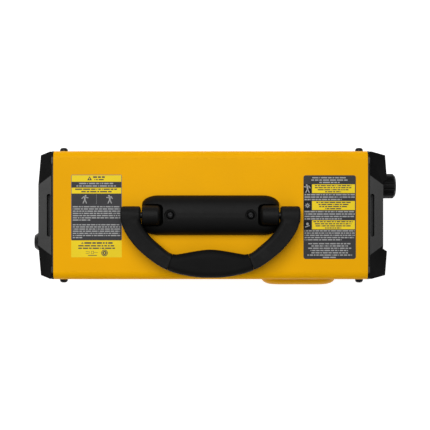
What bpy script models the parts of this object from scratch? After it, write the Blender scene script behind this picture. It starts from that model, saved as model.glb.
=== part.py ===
"""Portable inverter power source for arc welding, as an assembly of separate pieces.

A folded sheet-metal case between two moulded end bezels, with a fold-down carry handle on
top, a control panel and output sockets at the front, and the fan, switch and cable gland
at the rear. Metres, +Z up. +X is the front, and the case is modelled about its own middle,
then set so that the whole object's box is centred on the origin, feet at z = 0.
"""

import math

import bmesh
import bpy
from mathutils import Matrix, Vector

# ---------------------------------------------------------------- driving dimensions

GAP = 0.0003              # between pieces that touch
RUNNING = 0.0003          # radial play of a turning fit
SIDES = (1, -1)
ENDS = {"front": 1, "rear": -1}

CASE_WIDTH = 0.160
CASE_TOP = 0.280          # upper face of the cover, above the floor
FOOT_HEIGHT = 0.012
COVER_LENGTH = 0.3904
SHEET = 0.0012
BEND_RADIUS = 0.010

TRAY_SHEET = 0.0015
TRAY_FLANGE = 0.018

# End bezels. Depths run outwards from the cover's edge.
BEZEL_RIM = 0.0025        # full-outline step next to the cover
BEZEL_STRAIGHT = 0.007
BEZEL_TAPER = 0.0045
ISLAND_CORNER = 0.0305    # from the side to the flat top island, at the cover
ISLAND_NARROWING = 0.012  # of the island at its outer edge, each side
FACET_DROP = 0.021        # of the corner facet, at the bezel's outer corner
BEZEL_DEPTH = {"front": 0.0245, "rear": 0.0185}
ISLAND_DEPTH = {"front": 0.0190, "rear": 0.0185}
BUMPER_WIDTH = 0.0385     # of each corner bumper, across and up
BUMPER_HEIGHT = 0.072
NOTCH_SLOPE = 0.004
LIP_DEPTH = 0.020         # of the bezel's lip inside the cover
LIP_WALL = 0.0045
PANEL_MARGIN = 0.014      # of the bezel round the panel, at the sides
PANEL_MARGIN_LOW = 0.018
PANEL_MARGIN_HIGH = 0.022
PANEL_CORNER = 0.008
PANEL_LEDGE = 0.004
PANEL_THICKNESS = 0.0027
PANEL_SEAT = {"front": 0.0120, "rear": 0.0060}

# Strap slots through the islands, for 50 mm webbing.
STRAP_SLOT_LENGTH = 0.053
STRAP_SLOT_WIDTH = 0.0048
STRAP_SLOT_FROM_COVER = 0.0055
STRAP_BAR_HEIGHT = 0.009

# Pressed bulge on the side at -Y, which clears the output choke.
BULGE_LENGTH = 0.095
BULGE_HEIGHT = 0.104
BULGE_PROUD = 0.0085
BULGE_SHOULDER = 0.0135
BULGE_FROM_FRONT = 0.0827
BULGE_BELOW_TOP = 0.030
BULGE_CORNER = 0.026

# Side screws.
SCREW_HEAD_RADIUS = 0.0050
SCREW_HEAD_HEIGHT = 0.0045
SCREW_SHANK_RADIUS = 0.0020
SCREW_SHANK_LENGTH = 0.010
SCREW_FROM_EDGE = {"front": 0.0083, "rear": 0.0104}
SCREW_BELOW_TOP = 0.022
SCREW_ABOVE_TRAY = 0.016

# Handle.
HINGE_ABOVE_TOP = 0.015
BASE_LENGTH = 0.170
BASE_WIDTH = 0.050
BASE_HEIGHT = 0.0185
BARREL_RADIUS = 0.012
BARREL_INSET = 0.0015     # of a pivot barrel's outer face from the base's end
BARREL_LENGTH = 0.0235
BARREL_DOME = 0.005
BARREL_POCKET = 0.0018
BASE_SCREW_SPAN = 0.099
BASE_SCREW_SEAT = 0.0125  # of the screw heads, above the cover
ARM_CLEAR = 0.0025        # between a barrel's face and its arm
BOLT_HEAD_RADIUS = 0.0068
BOLT_HEAD_HEIGHT = 0.0045
BOLT_RADIUS = 0.0040
BOLT_GRIP = 0.014         # shoulder length inside the barrel
BOLT_SUNK = 0.002         # of the bolt head's top below the arm's outer face
GRIP_HALF_LENGTH = 0.050
CORE_WIDTH = 0.012
CORE_DEPTH = 0.012
PEDESTAL_WIDTH = 0.013    # of the web under each pivot barrel
BACKING_LENGTH = 0.150
BACKING_WIDTH = 0.036
BACKING_THICKNESS = 0.003

ARM_WIDTH = 0.0240
ARM_DEPTH = 0.0220
HANDLE_REACH = 0.0600

# Half of the handle, from the hinge to the middle of the grip: place across as a share of the
# arm's, reach as a share of the handle's, then width and depth.
HANDLE_SHAPE = (
    (1.000, 0.000, ARM_WIDTH, ARM_DEPTH),
    (0.988, 0.167, 0.0225, 0.0215),
    (0.931, 0.358, 0.0215, 0.0210),
    (0.824, 0.575, 0.0212, 0.0205),
    (0.696, 0.758, 0.0208, 0.0205),
    (0.571, 0.908, 0.0198, 0.0208),
    (0.469, 0.975, 0.0208, 0.0220),
    (0.367, 0.998, 0.0245, 0.0240),
    (0.184, 1.000, 0.0308, 0.0262),
    (0.000, 0.990, 0.0334, 0.0268),
)

# Front panel.
KNOB_RADIUS = 0.0160
KNOB_END = 0.0410         # outer end of the knob, from the cover's edge
KNOB_ACROSS = 0.0373
KNOB_BELOW_TOP = 0.050
KNOB_CLEAR = 0.0012       # between the knob and the panel
SHAFT_RADIUS = 0.0030
DISPLAY_WIDTH = 0.062
DISPLAY_HEIGHT = 0.028
DISPLAY_ACROSS = -0.020
BUTTON_RADIUS = 0.0050
BUTTON_TRAVEL = 0.0010
BUTTON_PROUD = 0.0022
BUTTON_BELOW_TOP = 0.090
LAMP_RADIUS = 0.0025
SOCKET_RADIUS = 0.0185
SOCKET_ACROSS = 0.034
SOCKET_ABOVE_FLOOR = 0.066
SOCKET_PROUD = 0.0110
SOCKET_BORE = 0.0066
SOCKET_CONTACT_RADIUS = 0.0100
SOCKET_DEPTH = 0.024

# Rear panel.
FAN_SIZE = 0.120
FAN_WALL = 0.0025         # of the frame at its thinnest
BLADE_CLEAR = 0.003       # between a blade's tip and the duct
FAN_DEPTH = 0.030
FAN_ABOVE_FLOOR = 0.118
FAN_BLADES = 7
ROCKER_ACROSS = 0.034
ROCKER_ABOVE_FLOOR = 0.224
ROCKER_RADIUS = 0.0115
ROCKER_WIDTH = 0.016
ROCKER_TILT = math.radians(10)
GLAND_ACROSS = -0.034
GLAND_RADIUS = 0.0120
GLAND_BORE = 0.0055
GLAND_PROUD = 0.022
SWITCH_HEIGHT = 0.0285    # of its hole in the panel
SWITCH_RIM = 0.003        # of the housing beyond the hole, all round
SWITCH_DEPTH = 0.024      # behind the panel's face
HUB_RADIUS = 0.020
SPIDER_RADIUS = 0.019
SPIDER_THICKNESS = 0.004

# Inside.
BOARD_THICKNESS = 0.0016
BOARD_HEIGHT = 0.036      # of the power board above the floor
BOARD_FROM_END = 0.0452   # of the cover
BOARD_FROM_SIDE = 0.0148  # of the cover's inner face
PILLAR_INSET = 0.008
PILLAR_RADIUS = 0.004
CAPACITOR_RADIUS = 0.015
CAPACITOR_HEIGHT = 0.045
MODULE_LENGTH = 0.060
MODULE_THICKNESS = 0.012
TRANSFORMER_PLACE = (0.018, -0.035)
TRANSFORMER_LENGTH = 0.064
TRANSFORMER_HEIGHT = 0.060
LEAD_RADIUS = 0.0026

# ---------------------------------------------------------------- derived places

HALF_LENGTH = COVER_LENGTH / 2
HALF_WIDTH = CASE_WIDTH / 2
CASE_MIDDLE_Z = (CASE_TOP + FOOT_HEIGHT) / 2
HINGE_Z = CASE_TOP + HINGE_ABOVE_TOP
INNER_HALF_WIDTH = HALF_WIDTH - SHEET
TRAY_TOP = FOOT_HEIGHT + TRAY_SHEET
ISLAND_ROOT = HALF_WIDTH - ISLAND_CORNER
ISLAND_TIP = ISLAND_ROOT - ISLAND_NARROWING
PANEL_HALF_WIDTH = HALF_WIDTH - PANEL_MARGIN
PANEL_LOW = FOOT_HEIGHT + PANEL_MARGIN_LOW
PANEL_HIGH = CASE_TOP - PANEL_MARGIN_HIGH
BULGE_X = HALF_LENGTH - BULGE_FROM_FRONT
BARREL_FACE = BASE_LENGTH / 2 - BARREL_INSET
ARM_INNER_FACE = BARREL_FACE + ARM_CLEAR
ARM_OUTER_FACE = ARM_INNER_FACE + ARM_WIDTH
ARM_MIDDLE = ARM_INNER_FACE + ARM_WIDTH / 2
BOLT_SEAT = ARM_OUTER_FACE - BOLT_HEAD_HEIGHT - BOLT_SUNK
DUCT_RADIUS = FAN_SIZE / 2 - FAN_WALL
BOARD_HIGH = (HALF_LENGTH - BOARD_FROM_END, INNER_HALF_WIDTH - BOARD_FROM_SIDE)
BOARD_LOW = (-BOARD_HIGH[0], -BOARD_HIGH[1])
PILLAR_PLACES = tuple(
    (x, y)
    for x in (BOARD_LOW[0] + PILLAR_INSET, 0, BOARD_HIGH[0] - PILLAR_INSET)
    for y in (BOARD_LOW[1] + PILLAR_INSET, BOARD_HIGH[1] - PILLAR_INSET)
)
PANEL_FACE = {end: PANEL_SEAT[end] + GAP + PANEL_THICKNESS for end in ENDS}
KNOB_Z = CASE_TOP - KNOB_BELOW_TOP
CONTROLS_Z = CASE_TOP - BUTTON_BELOW_TOP
FRONT_REACH = HALF_LENGTH + KNOB_END
REAR_REACH = HALF_LENGTH + PANEL_FACE["rear"] + GLAND_PROUD
BULGE_REACH = HALF_WIDTH + BULGE_PROUD
SCREW_REACH = HALF_WIDTH + GAP + SCREW_HEAD_HEIGHT
CASE_PLACE = Vector(((REAR_REACH - FRONT_REACH) / 2, (BULGE_REACH - SCREW_REACH) / 2, 0))

# ---------------------------------------------------------------- scene, materials

for leftover in list(bpy.data.objects):
    bpy.data.objects.remove(leftover)

CASE = bpy.data.objects.new("case_frame", None)
CASE.location = CASE_PLACE
bpy.context.scene.collection.objects.link(CASE)


def finish(name, colour, roughness, metallic=0.0):
    """A plain material of one colour."""
    made = bpy.data.materials.new(name)
    made.use_nodes = True
    shader = made.node_tree.nodes["Principled BSDF"]
    shader.inputs["Base Color"].default_value = (*colour, 1)
    shader.inputs["Roughness"].default_value = roughness
    shader.inputs["Metallic"].default_value = metallic
    return made


YELLOW = finish("yellow_paint", (0.83, 0.40, 0.004), 0.38)
BLACK = finish("black_nylon", (0.017, 0.017, 0.018), 0.55)
SOFT = finish("soft_grip", (0.014, 0.014, 0.014), 0.75)
RUBBER = finish("black_rubber", (0.012, 0.012, 0.012), 0.8)
DARK_STEEL = finish("black_screw", (0.02, 0.02, 0.02), 0.35, 0.9)
ZINC = finish("zinc_steel", (0.55, 0.55, 0.53), 0.4, 0.9)
BRASS = finish("brass", (0.72, 0.50, 0.18), 0.3, 1.0)
COPPER = finish("copper", (0.80, 0.38, 0.22), 0.35, 1.0)
ALUMINIUM = finish("aluminium", (0.60, 0.61, 0.62), 0.4, 1.0)
BOARD_GREEN = finish("circuit_board", (0.02, 0.12, 0.04), 0.5)
FERRITE = finish("ferrite", (0.03, 0.03, 0.032), 0.6)
WINDING = finish("enamelled_wire", (0.45, 0.16, 0.05), 0.4)
CLEAR = finish("dark_lens", (0.01, 0.01, 0.012), 0.08)
RED = finish("red_switch", (0.45, 0.01, 0.01), 0.35)
FAN_BLACK = finish("fan_plastic", (0.02, 0.02, 0.02), 0.5)
LEAD_BLUE = finish("lead_jacket", (0.02, 0.05, 0.30), 0.5)

# ---------------------------------------------------------------- outlines


def arc(centre, radius, start, end, steps):
    """Points along an arc, both ends included; angles in degrees."""
    angles = (math.radians(start + (end - start) * i / steps) for i in range(steps + 1))
    return [(centre[0] + radius * math.cos(a), centre[1] + radius * math.sin(a)) for a in angles]


def circle(radius, centre=(0, 0), points=24):
    return arc(centre, radius, 0, 360 - 360 / points, points - 1)


def rectangle(low, high):
    return [(low[0], low[1]), (high[0], low[1]), (high[0], high[1]), (low[0], high[1])]


def rounded(low, high, radius, steps=3):
    """A rectangle with round corners, anticlockwise."""
    centres = (
        ((high[0] - radius, low[1] + radius), -90),
        ((high[0] - radius, high[1] - radius), 0),
        ((low[0] + radius, high[1] - radius), 90),
        ((low[0] + radius, low[1] + radius), 180),
    )
    return [p for middle, start in centres for p in arc(middle, radius, start, start + 90, steps)]


def around(centre, width, height):
    """Low and high corners of a box of this width and height about a centre."""
    return (
        (centre[0] - width / 2, centre[1] - height / 2),
        (centre[0] + width / 2, centre[1] + height / 2),
    )


# ---------------------------------------------------------------- solids

AXES = {"X": (0, 1, 2), "Y": (1, 0, 2), "Z": (2, 0, 1)}


def put(axis, along, first, second):
    """The point at this place along an axis, and at first and second across it, in X, Y, Z order."""
    point = [0, 0, 0]
    for index, value in zip(AXES[axis], (along, first, second)):
        point[index] = value
    return Vector(point)


def skin(mesh, rings, cyclic=False):
    """Joins rings of the same number of points with faces, and caps the ends."""
    loops = [[mesh.verts.new(p) for p in ring] for ring in rings]
    count = len(loops[0])
    pairs = list(zip(loops, loops[1:]))
    if cyclic:
        pairs.append((loops[-1], loops[0]))
    else:
        mesh.faces.new(loops[0])
        mesh.faces.new(loops[-1])
    for near, far in pairs:
        for i in range(count):
            j = (i + 1) % count
            mesh.faces.new((near[i], near[j], far[j], far[i]))


def prism(mesh, outline, axis, start, end):
    skin(mesh, [[put(axis, place, *p) for p in outline] for place in (start, end)])


def box(mesh, low, high):
    prism(mesh, rectangle(low[:2], high[:2]), "Z", low[2], high[2])


def turned(mesh, profile, axis, centre, points=24):
    """Turns a profile of (radius, place along the axis) about that axis; radius 0 only at its ends."""
    tips = [profile[0][0] == 0, profile[-1][0] == 0]
    body = profile[tips[0]:len(profile) - tips[1]]
    loops = []
    for radius, along in body:
        angles = [2 * math.pi * i / points for i in range(points)]
        ring = [
            put(axis, along, centre[0] + radius * math.cos(a), centre[1] + radius * math.sin(a))
            for a in angles
        ]
        loops.append([mesh.verts.new(p) for p in ring])
    for near, far in zip(loops, loops[1:]):
        for i in range(points):
            j = (i + 1) % points
            mesh.faces.new((near[i], near[j], far[j], far[i]))
    for has_tip, loop, place in ((tips[0], loops[0], profile[0]), (tips[1], loops[-1], profile[-1])):
        if not has_tip:
            mesh.faces.new(loop)
            continue
        tip = mesh.verts.new(put(axis, place[1], *centre))
        for i in range(points):
            mesh.faces.new((loop[i], loop[(i + 1) % points], tip))


def solid(name, mesh, material, parent=CASE, origin=(0, 0, 0), smooth=30):
    """Makes the finished object. Its mesh is drawn in the case's frame and kept there by its origin."""
    bmesh.ops.recalc_face_normals(mesh, faces=mesh.faces)
    data = bpy.data.meshes.new(name)
    mesh.transform(Matrix.Translation(-Vector(origin)))
    mesh.to_mesh(data)
    mesh.free()
    data.materials.append(material)
    data.shade_smooth()
    data.set_sharp_from_angle(angle=math.radians(smooth))
    made = bpy.data.objects.new(name, data)
    bpy.context.scene.collection.objects.link(made)
    made.parent = parent
    made.location = Vector(origin)
    return made


def combine(target, mesh, operation):
    """Cuts or joins a mesh drawn in the case's frame."""
    tool = solid(f"{target.name}_{operation.lower()}_{len(target.modifiers)}", mesh, BLACK)
    tool.hide_render = True
    tool.display_type = "WIRE"
    step = target.modifiers.new(operation.title(), "BOOLEAN")
    step.operation = operation
    step.object = tool
    return target


def cut(target, mesh):
    return combine(target, mesh, "DIFFERENCE")


def join(target, mesh):
    return combine(target, mesh, "UNION")


def pan_screw(mesh, seat, direction, axis, across, head=SCREW_HEAD_RADIUS, height=SCREW_HEAD_HEIGHT,
              shank=SCREW_SHANK_RADIUS, length=SCREW_SHANK_LENGTH, points=12):
    """A pan-head screw whose head rests on seat and stands out along direction, +1 or -1."""
    profile = [(0, -length), (shank, -length), (shank, 0), (head, 0)]
    profile += [(head, height * 0.45), (head * 0.72, height * 0.9), (0, height)]
    turned(mesh, [(r, seat + direction * h) for r, h in profile], axis, across, points)


# ---------------------------------------------------------------- case


def cover_screw_places():
    """Place along X and height of each screw that holds the cover to a bezel's lip."""
    for end, sign in ENDS.items():
        for height in (CASE_TOP - SCREW_BELOW_TOP, TRAY_TOP + TRAY_FLANGE + SCREW_ABOVE_TRAY):
            yield sign * (HALF_LENGTH - SCREW_FROM_EDGE[end]), height


def cover_outline():
    """Section of the cover: an inverted U with bent corners, wall and all."""
    outer, inner = [], []
    for points, inset in ((outer, 0), (inner, SHEET)):
        half = HALF_WIDTH - inset
        radius = BEND_RADIUS - inset
        middle = HALF_WIDTH - BEND_RADIUS
        points.append((half, FOOT_HEIGHT))
        points += arc((middle, CASE_TOP - BEND_RADIUS), radius, 0, 90, 5)
        points += arc((-middle, CASE_TOP - BEND_RADIUS), radius, 90, 180, 5)
        points.append((-half, FOOT_HEIGHT))
    return outer + inner[::-1]


def bulge_rings(inset, start):
    """Rings of the bulge's rounded shoulder, from the side wall outwards."""
    low_z = CASE_TOP - BULGE_BELOW_TOP - BULGE_HEIGHT
    rings = []
    for depth, angle in ((start, 0), (0, 0), (None, 30), (None, 60), (None, 90)):
        swing = math.radians(angle)
        edge = inset + BULGE_SHOULDER * (1 - math.cos(swing))
        out = depth if depth is not None else BULGE_PROUD * math.sin(swing)
        low = (BULGE_X - BULGE_LENGTH / 2 + edge, low_z + edge)
        high = (BULGE_X + BULGE_LENGTH / 2 - edge, low_z + BULGE_HEIGHT - edge)
        place = -(HALF_WIDTH + out - inset)
        rings.append([put("Y", place, *p) for p in rounded(low, high, BULGE_CORNER - edge, 4)])
    return rings


VENT_COLUMNS = 9
VENT_PITCH = 0.012
VENT_WIDTH = 0.005
VENT_LOW = 0.052
VENT_HEIGHT = 0.050
VENT_FROM_REAR = 0.0302


def vents(mesh):
    """Upright slots through both side walls, beside the fan's outlet."""
    for column in range(VENT_COLUMNS):
        place = -HALF_LENGTH + VENT_FROM_REAR + column * VENT_PITCH
        outline = rounded((place, VENT_LOW), (place + VENT_WIDTH, VENT_LOW + VENT_HEIGHT), 0.0024, 1)
        for side in SIDES:
            prism(mesh, outline, "Y", side * (HALF_WIDTH - 0.004), side * (HALF_WIDTH + 0.002))


def top_cover():
    """One folded sheet: top and both sides, with the pressed bulge, vents and screw holes."""
    body = bmesh.new()
    prism(body, cover_outline(), "X", -HALF_LENGTH, HALF_LENGTH)
    cover = solid("top_cover", body, YELLOW)
    outer = bmesh.new()
    skin(outer, bulge_rings(0, -SHEET / 2))
    join(cover, outer)
    hollow = bmesh.new()
    skin(hollow, bulge_rings(SHEET, -0.003))
    cut(cover, hollow)
    holes = bmesh.new()
    vents(holes)
    for place in cover_screw_places():
        for side in SIDES:
            prism(holes, circle(SCREW_SHANK_RADIUS + GAP, place, 10), "Y",
                  side * (HALF_WIDTH - 0.004), side * (HALF_WIDTH + 0.002))
    for side in SIDES:
        prism(holes, circle(SCREW_SHANK_RADIUS + GAP, (side * BASE_SCREW_SPAN / 2, 0), 10), "Z",
              CASE_TOP - 0.004, CASE_TOP + 0.002)
    cut(cover, holes)


def base_tray():
    """Folded chassis tray inside the cover, its flanges short of the bezels' lips.

    Six pillars pressed into it carry the power board.
    """
    half = INNER_HALF_WIDTH - GAP
    flange_end = HALF_LENGTH - LIP_DEPTH - 0.002
    body = bmesh.new()
    box(body, (-HALF_LENGTH + GAP, -half, FOOT_HEIGHT), (HALF_LENGTH - GAP, half, TRAY_TOP))
    tray = solid("base_tray", body, ZINC)
    flanges = bmesh.new()
    for side in SIDES:
        outer, inner = side * half, side * (half - TRAY_SHEET)
        box(flanges, (-flange_end, min(outer, inner), FOOT_HEIGHT + TRAY_SHEET / 2),
            (flange_end, max(outer, inner), TRAY_TOP + TRAY_FLANGE))
    join(tray, flanges)
    pillars = bmesh.new()
    for place in PILLAR_PLACES:
        prism(pillars, circle(PILLAR_RADIUS, place, 6), "Z", TRAY_TOP - TRAY_SHEET / 2, BOARD_HEIGHT - GAP)
    join(tray, pillars)
    holes = bmesh.new()
    for place in foot_places():
        prism(holes, circle(FOOT_STUD_RADIUS + GAP, place, 12), "Z", FOOT_HEIGHT - 0.002,
              TRAY_TOP + 0.002)
    cut(tray, holes)


def facet_plane(depth, side, up):
    """Point and outward normal of a corner facet, through three corners of the faceted end."""
    edge_z = CASE_TOP if up > 0 else FOOT_HEIGHT
    root = Vector((BEZEL_RIM, side * ISLAND_ROOT, edge_z))
    tip = Vector((ISLAND_DEPTH[depth], side * ISLAND_TIP, edge_z))
    corner = Vector((BEZEL_DEPTH[depth], side * (HALF_WIDTH - BEZEL_TAPER), edge_z - up * FACET_DROP))
    normal = (tip - root).cross(corner - root).normalized()
    return root, normal if normal.z * up > 0 else -normal


def slice_off(mesh, point, normal):
    """Cuts a convex body by a plane, drops what lies beyond it and closes the cut."""
    made = bmesh.ops.bisect_plane(mesh, geom=mesh.verts[:] + mesh.edges[:] + mesh.faces[:],
                                  plane_co=point, plane_no=normal, clear_outer=True)
    edges = [e for e in made["geom_cut"] if isinstance(e, bmesh.types.BMEdge)]
    bmesh.ops.contextual_create(mesh, geom=edges)


def case_outline(inset):
    return rounded((-HALF_WIDTH + inset, FOOT_HEIGHT + inset), (HALF_WIDTH - inset, CASE_TOP - inset),
                   BEND_RADIUS - inset, 5)


def faceted_end(end):
    """The convex block of a bezel: straight rim, tapered sides and four corner facets."""
    block = bmesh.new()
    prism(block, case_outline(0), "X", BEZEL_RIM - 0.0005, BEZEL_DEPTH[end])
    for side in SIDES:
        taper = Vector((BEZEL_TAPER, side * (BEZEL_DEPTH[end] - BEZEL_STRAIGHT), 0)).normalized()
        slice_off(block, Vector((BEZEL_STRAIGHT, side * HALF_WIDTH, 0)), taper)
        for up in SIDES:
            slice_off(block, *facet_plane(end, side, up))
    return block


def strap_passage(mesh):
    """Down through the island, then out of its face: the webbing loops round the bar between."""
    half = STRAP_SLOT_WIDTH / 2
    centre = STRAP_SLOT_FROM_COVER
    floor_z = CASE_TOP - STRAP_BAR_HEIGHT - STRAP_SLOT_WIDTH
    across = STRAP_SLOT_LENGTH / 2
    down = rounded((centre - half, -across), (centre + half, across), half - 0.0001, 3)
    prism(mesh, down, "Z", floor_z, CASE_TOP + 0.005)
    return floor_z, across, centre - half


def at_end(mesh, sign):
    """Moves a mesh drawn with depth along +X to the front or, mirrored, to the rear."""
    mirror = Matrix.Diagonal((sign, 1, 1, 1))
    mesh.transform(Matrix.Translation((sign * HALF_LENGTH, 0, 0)) @ mirror)
    bmesh.ops.recalc_face_normals(mesh, faces=mesh.faces)
    return mesh


def panel_opening(mesh, inset, start, end):
    prism(mesh, rounded((-PANEL_HALF_WIDTH + inset, PANEL_LOW + inset),
                        (PANEL_HALF_WIDTH - inset, PANEL_HIGH - inset), PANEL_CORNER - inset, 3),
          "X", start, end)


def bezel(end):
    """Moulded end frame with bumper corners, a strap bar, a ledge for its panel and a lip."""
    sign = ENDS[end]
    body = solid(f"{end}_bezel", at_end(faceted_end(end), sign), BLACK)
    rim = bmesh.new()
    prism(rim, case_outline(0), "X", GAP, BEZEL_RIM)
    join(body, at_end(rim, sign))
    lip = bmesh.new()
    prism(lip, [(y, max(z, TRAY_TOP + GAP)) for y, z in case_outline(SHEET + GAP)], "X",
          -LIP_DEPTH, BEZEL_RIM / 2)
    join(body, at_end(lip, sign))
    for inset, start, stop in (
        (0, PANEL_SEAT[end], 0.050),
        (PANEL_LEDGE, -LIP_DEPTH + 0.003, PANEL_SEAT[end] + 0.001),
    ):
        opening = bmesh.new()
        panel_opening(opening, inset, start, stop)
        cut(body, at_end(opening, sign))
    hollow = bmesh.new()
    wall = SHEET + GAP + LIP_WALL
    prism(hollow, case_outline(wall), "X", -LIP_DEPTH - 0.010, -0.001)
    cut(body, at_end(hollow, sign))
    slot = bmesh.new()
    floor_z, across, near = strap_passage(slot)
    cut(body, at_end(slot, sign))
    out = bmesh.new()
    outline = rounded((-across, floor_z), (across, floor_z + STRAP_SLOT_WIDTH), 0.0020, 3)
    prism(out, outline, "X", near, 0.050)
    cut(body, at_end(out, sign))
    if BEZEL_DEPTH[end] > ISLAND_DEPTH[end]:
        notch_bumpers(body, end)
    holes = bmesh.new()
    for place in cover_screw_places():
        for side in SIDES:
            prism(holes, circle(SCREW_SHANK_RADIUS + GAP, place, 10), "Y",
                  side * (HALF_WIDTH - 0.012), side * (HALF_WIDTH + 0.001))
    cut(body, holes)
    return body


def notch_bumpers(body, end):
    """Takes the middle of each side back to the island's depth, which leaves four corner bumpers."""
    near, far = ISLAND_DEPTH[end], BEZEL_DEPTH[end] + 0.001
    half_height = (CASE_TOP - FOOT_HEIGHT) / 2 - BUMPER_HEIGHT
    for axis, half, middle, reach in (
        ("Z", HALF_WIDTH - BUMPER_WIDTH, 0, CASE_TOP + 0.01),
        ("Y", half_height, CASE_MIDDLE_Z, HALF_WIDTH + 0.01),
    ):
        wide = half + NOTCH_SLOPE
        outline = [(near, middle - half), (far, middle - wide), (far, middle + wide), (near, middle + half)]
        notch = bmesh.new()
        prism(notch, outline, axis, -reach if axis == "Y" else 0, reach)
        cut(body, at_end(notch, ENDS[end]))


def end_panel(end):
    """The flat panel that drops into a bezel's ledge, before its cut-outs."""
    panel = bmesh.new()
    panel_opening(panel, GAP, PANEL_SEAT[end] + GAP, PANEL_FACE[end])
    return solid(f"{end}_panel", at_end(panel, ENDS[end]), BLACK)


def cover_screws():
    """Pan-head screws through the cover's sides into the bezels' lips."""
    number = 0
    for place in cover_screw_places():
        for side in SIDES:
            number += 1
            screw = bmesh.new()
            pan_screw(screw, side * (HALF_WIDTH + GAP), side, "Y", place)
            solid(f"cover_screw_{number}", screw, DARK_STEEL)


FOOT_RADIUS = 0.0125
FOOT_STUD_RADIUS = 0.0045
FOOT_FLANGE = 0.0012
FOOT_FROM_END = 0.0352
FOOT_FROM_SIDE = 0.024


def foot_places():
    for x_side in SIDES:
        for y_side in SIDES:
            yield x_side * (HALF_LENGTH - FOOT_FROM_END), y_side * (HALF_WIDTH - FOOT_FROM_SIDE)


def feet():
    """Push-in rubber feet: a pad under the tray and a grooved stud that snaps through it."""
    under = FOOT_HEIGHT - GAP
    above = TRAY_TOP + GAP
    for number, place in enumerate(foot_places(), 1):
        profile = [(0, 0), (FOOT_RADIUS - 0.0020, 0), (FOOT_RADIUS - 0.0010, 0.0010),
                   (FOOT_RADIUS, under), (FOOT_STUD_RADIUS, under), (FOOT_STUD_RADIUS, above),
                   (FOOT_STUD_RADIUS + FOOT_FLANGE, above), (FOOT_STUD_RADIUS * 0.6, above + 0.004),
                   (0, above + 0.004)]
        pad = bmesh.new()
        turned(pad, profile, "Z", place, 12)
        solid(f"foot_{number}", pad, RUBBER)


# ---------------------------------------------------------------- handle


def base_outline(inset):
    """Plan of the handle base: a long oval with round ends."""
    half = BASE_WIDTH / 2 - inset
    middle = BASE_LENGTH / 2 - BASE_WIDTH / 2
    return arc((middle, 0), half, -90, 90, 8) + arc((-middle, 0), half, 90, 270, 8)


def handle_base():
    """Convex moulding on the cover, with a pocketed pivot barrel at each end."""
    floor_z = CASE_TOP + GAP
    rings = [[put("Z", floor_z, *p) for p in base_outline(0)]]
    for angle in (12, 32, 52, 70):
        swing = math.radians(angle)
        inset = BASE_WIDTH / 2 * (1 - math.cos(swing))
        height = floor_z + BASE_HEIGHT * math.sin(swing) / math.sin(math.radians(70))
        rings.append([put("Z", height, *p) for p in base_outline(inset)])
    body = bmesh.new()
    skin(body, rings)
    base = solid("handle_base", body, BLACK)
    pocket, barrel, bores = bmesh.new(), bmesh.new(), bmesh.new()
    centre = (0, HINGE_Z)
    inner = BARREL_FACE - BARREL_LENGTH
    wide = BARREL_RADIUS + BARREL_POCKET
    for side in SIDES:
        turned(pocket, [(0, side * (inner - BARREL_POCKET)), (wide * 0.75, side * (inner - BARREL_POCKET)),
                        (wide, side * (inner + BARREL_DOME)), (wide, side * 0.1), (0, side * 0.1)],
               "X", centre, 20)
        dome = [(0, side * inner), (BARREL_RADIUS * 0.62, side * (inner + 0.0006)),
                (BARREL_RADIUS * 0.9, side * (inner + BARREL_DOME * 0.45)),
                (BARREL_RADIUS, side * (inner + BARREL_DOME)),
                (BARREL_RADIUS, side * (BARREL_FACE - 0.0008)),
                (BARREL_RADIUS - 0.0008, side * BARREL_FACE), (0, side * BARREL_FACE)]
        turned(barrel, dome, "X", centre, 20)
        turned(bores, [(0, side * (BARREL_FACE - BOLT_GRIP - 0.001)),
                       (BOLT_RADIUS + GAP, side * (BARREL_FACE - BOLT_GRIP - 0.001)),
                       (BOLT_RADIUS + GAP, side * (BARREL_FACE + 0.005)),
                       (0, side * (BARREL_FACE + 0.005))], "X", centre, 16)
        shank, recess = SCREW_SHANK_RADIUS + GAP, SCREW_HEAD_RADIUS + 0.0022
        seat = CASE_TOP + BASE_SCREW_SEAT
        turned(bores, [(0, CASE_TOP - 0.001), (shank, CASE_TOP - 0.001), (shank, seat),
                       (recess, seat), (recess, seat + 0.020), (0, seat + 0.020)], "Z",
               (side * BASE_SCREW_SPAN / 2, 0), 20)
    cut(base, pocket)
    join(base, barrel)
    pedestals = bmesh.new()
    for side in SIDES:
        ends = sorted((side * (inner + 0.003), side * (BARREL_FACE - GAP)))
        box(pedestals, (ends[0], -PEDESTAL_WIDTH / 2, floor_z),
            (ends[1], PEDESTAL_WIDTH / 2, HINGE_Z - 0.006))
    join(base, pedestals)
    cut(base, bores)


def handle_base_screws():
    """The screws through the base and the cover into the backing plate."""
    for name, sign in ENDS.items():
        screw = bmesh.new()
        pan_screw(screw, CASE_TOP + BASE_SCREW_SEAT + GAP, 1, "Z", (sign * BASE_SCREW_SPAN / 2, 0),
                  length=0.0205)
        solid(f"handle_screw_{name}", screw, DARK_STEEL)
    plate = bmesh.new()
    under = CASE_TOP - SHEET - GAP
    box(plate, (-BACKING_LENGTH / 2, -BACKING_WIDTH / 2, under - BACKING_THICKNESS),
        (BACKING_LENGTH / 2, BACKING_WIDTH / 2, under))
    backing = solid("handle_backing_plate", plate, ZINC)
    holes = bmesh.new()
    for side in SIDES:
        prism(holes, circle(SCREW_SHANK_RADIUS + GAP, (side * BASE_SCREW_SPAN / 2, 0), 10), "Z",
              under - 0.008, under + 0.002)
    cut(backing, holes)


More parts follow.
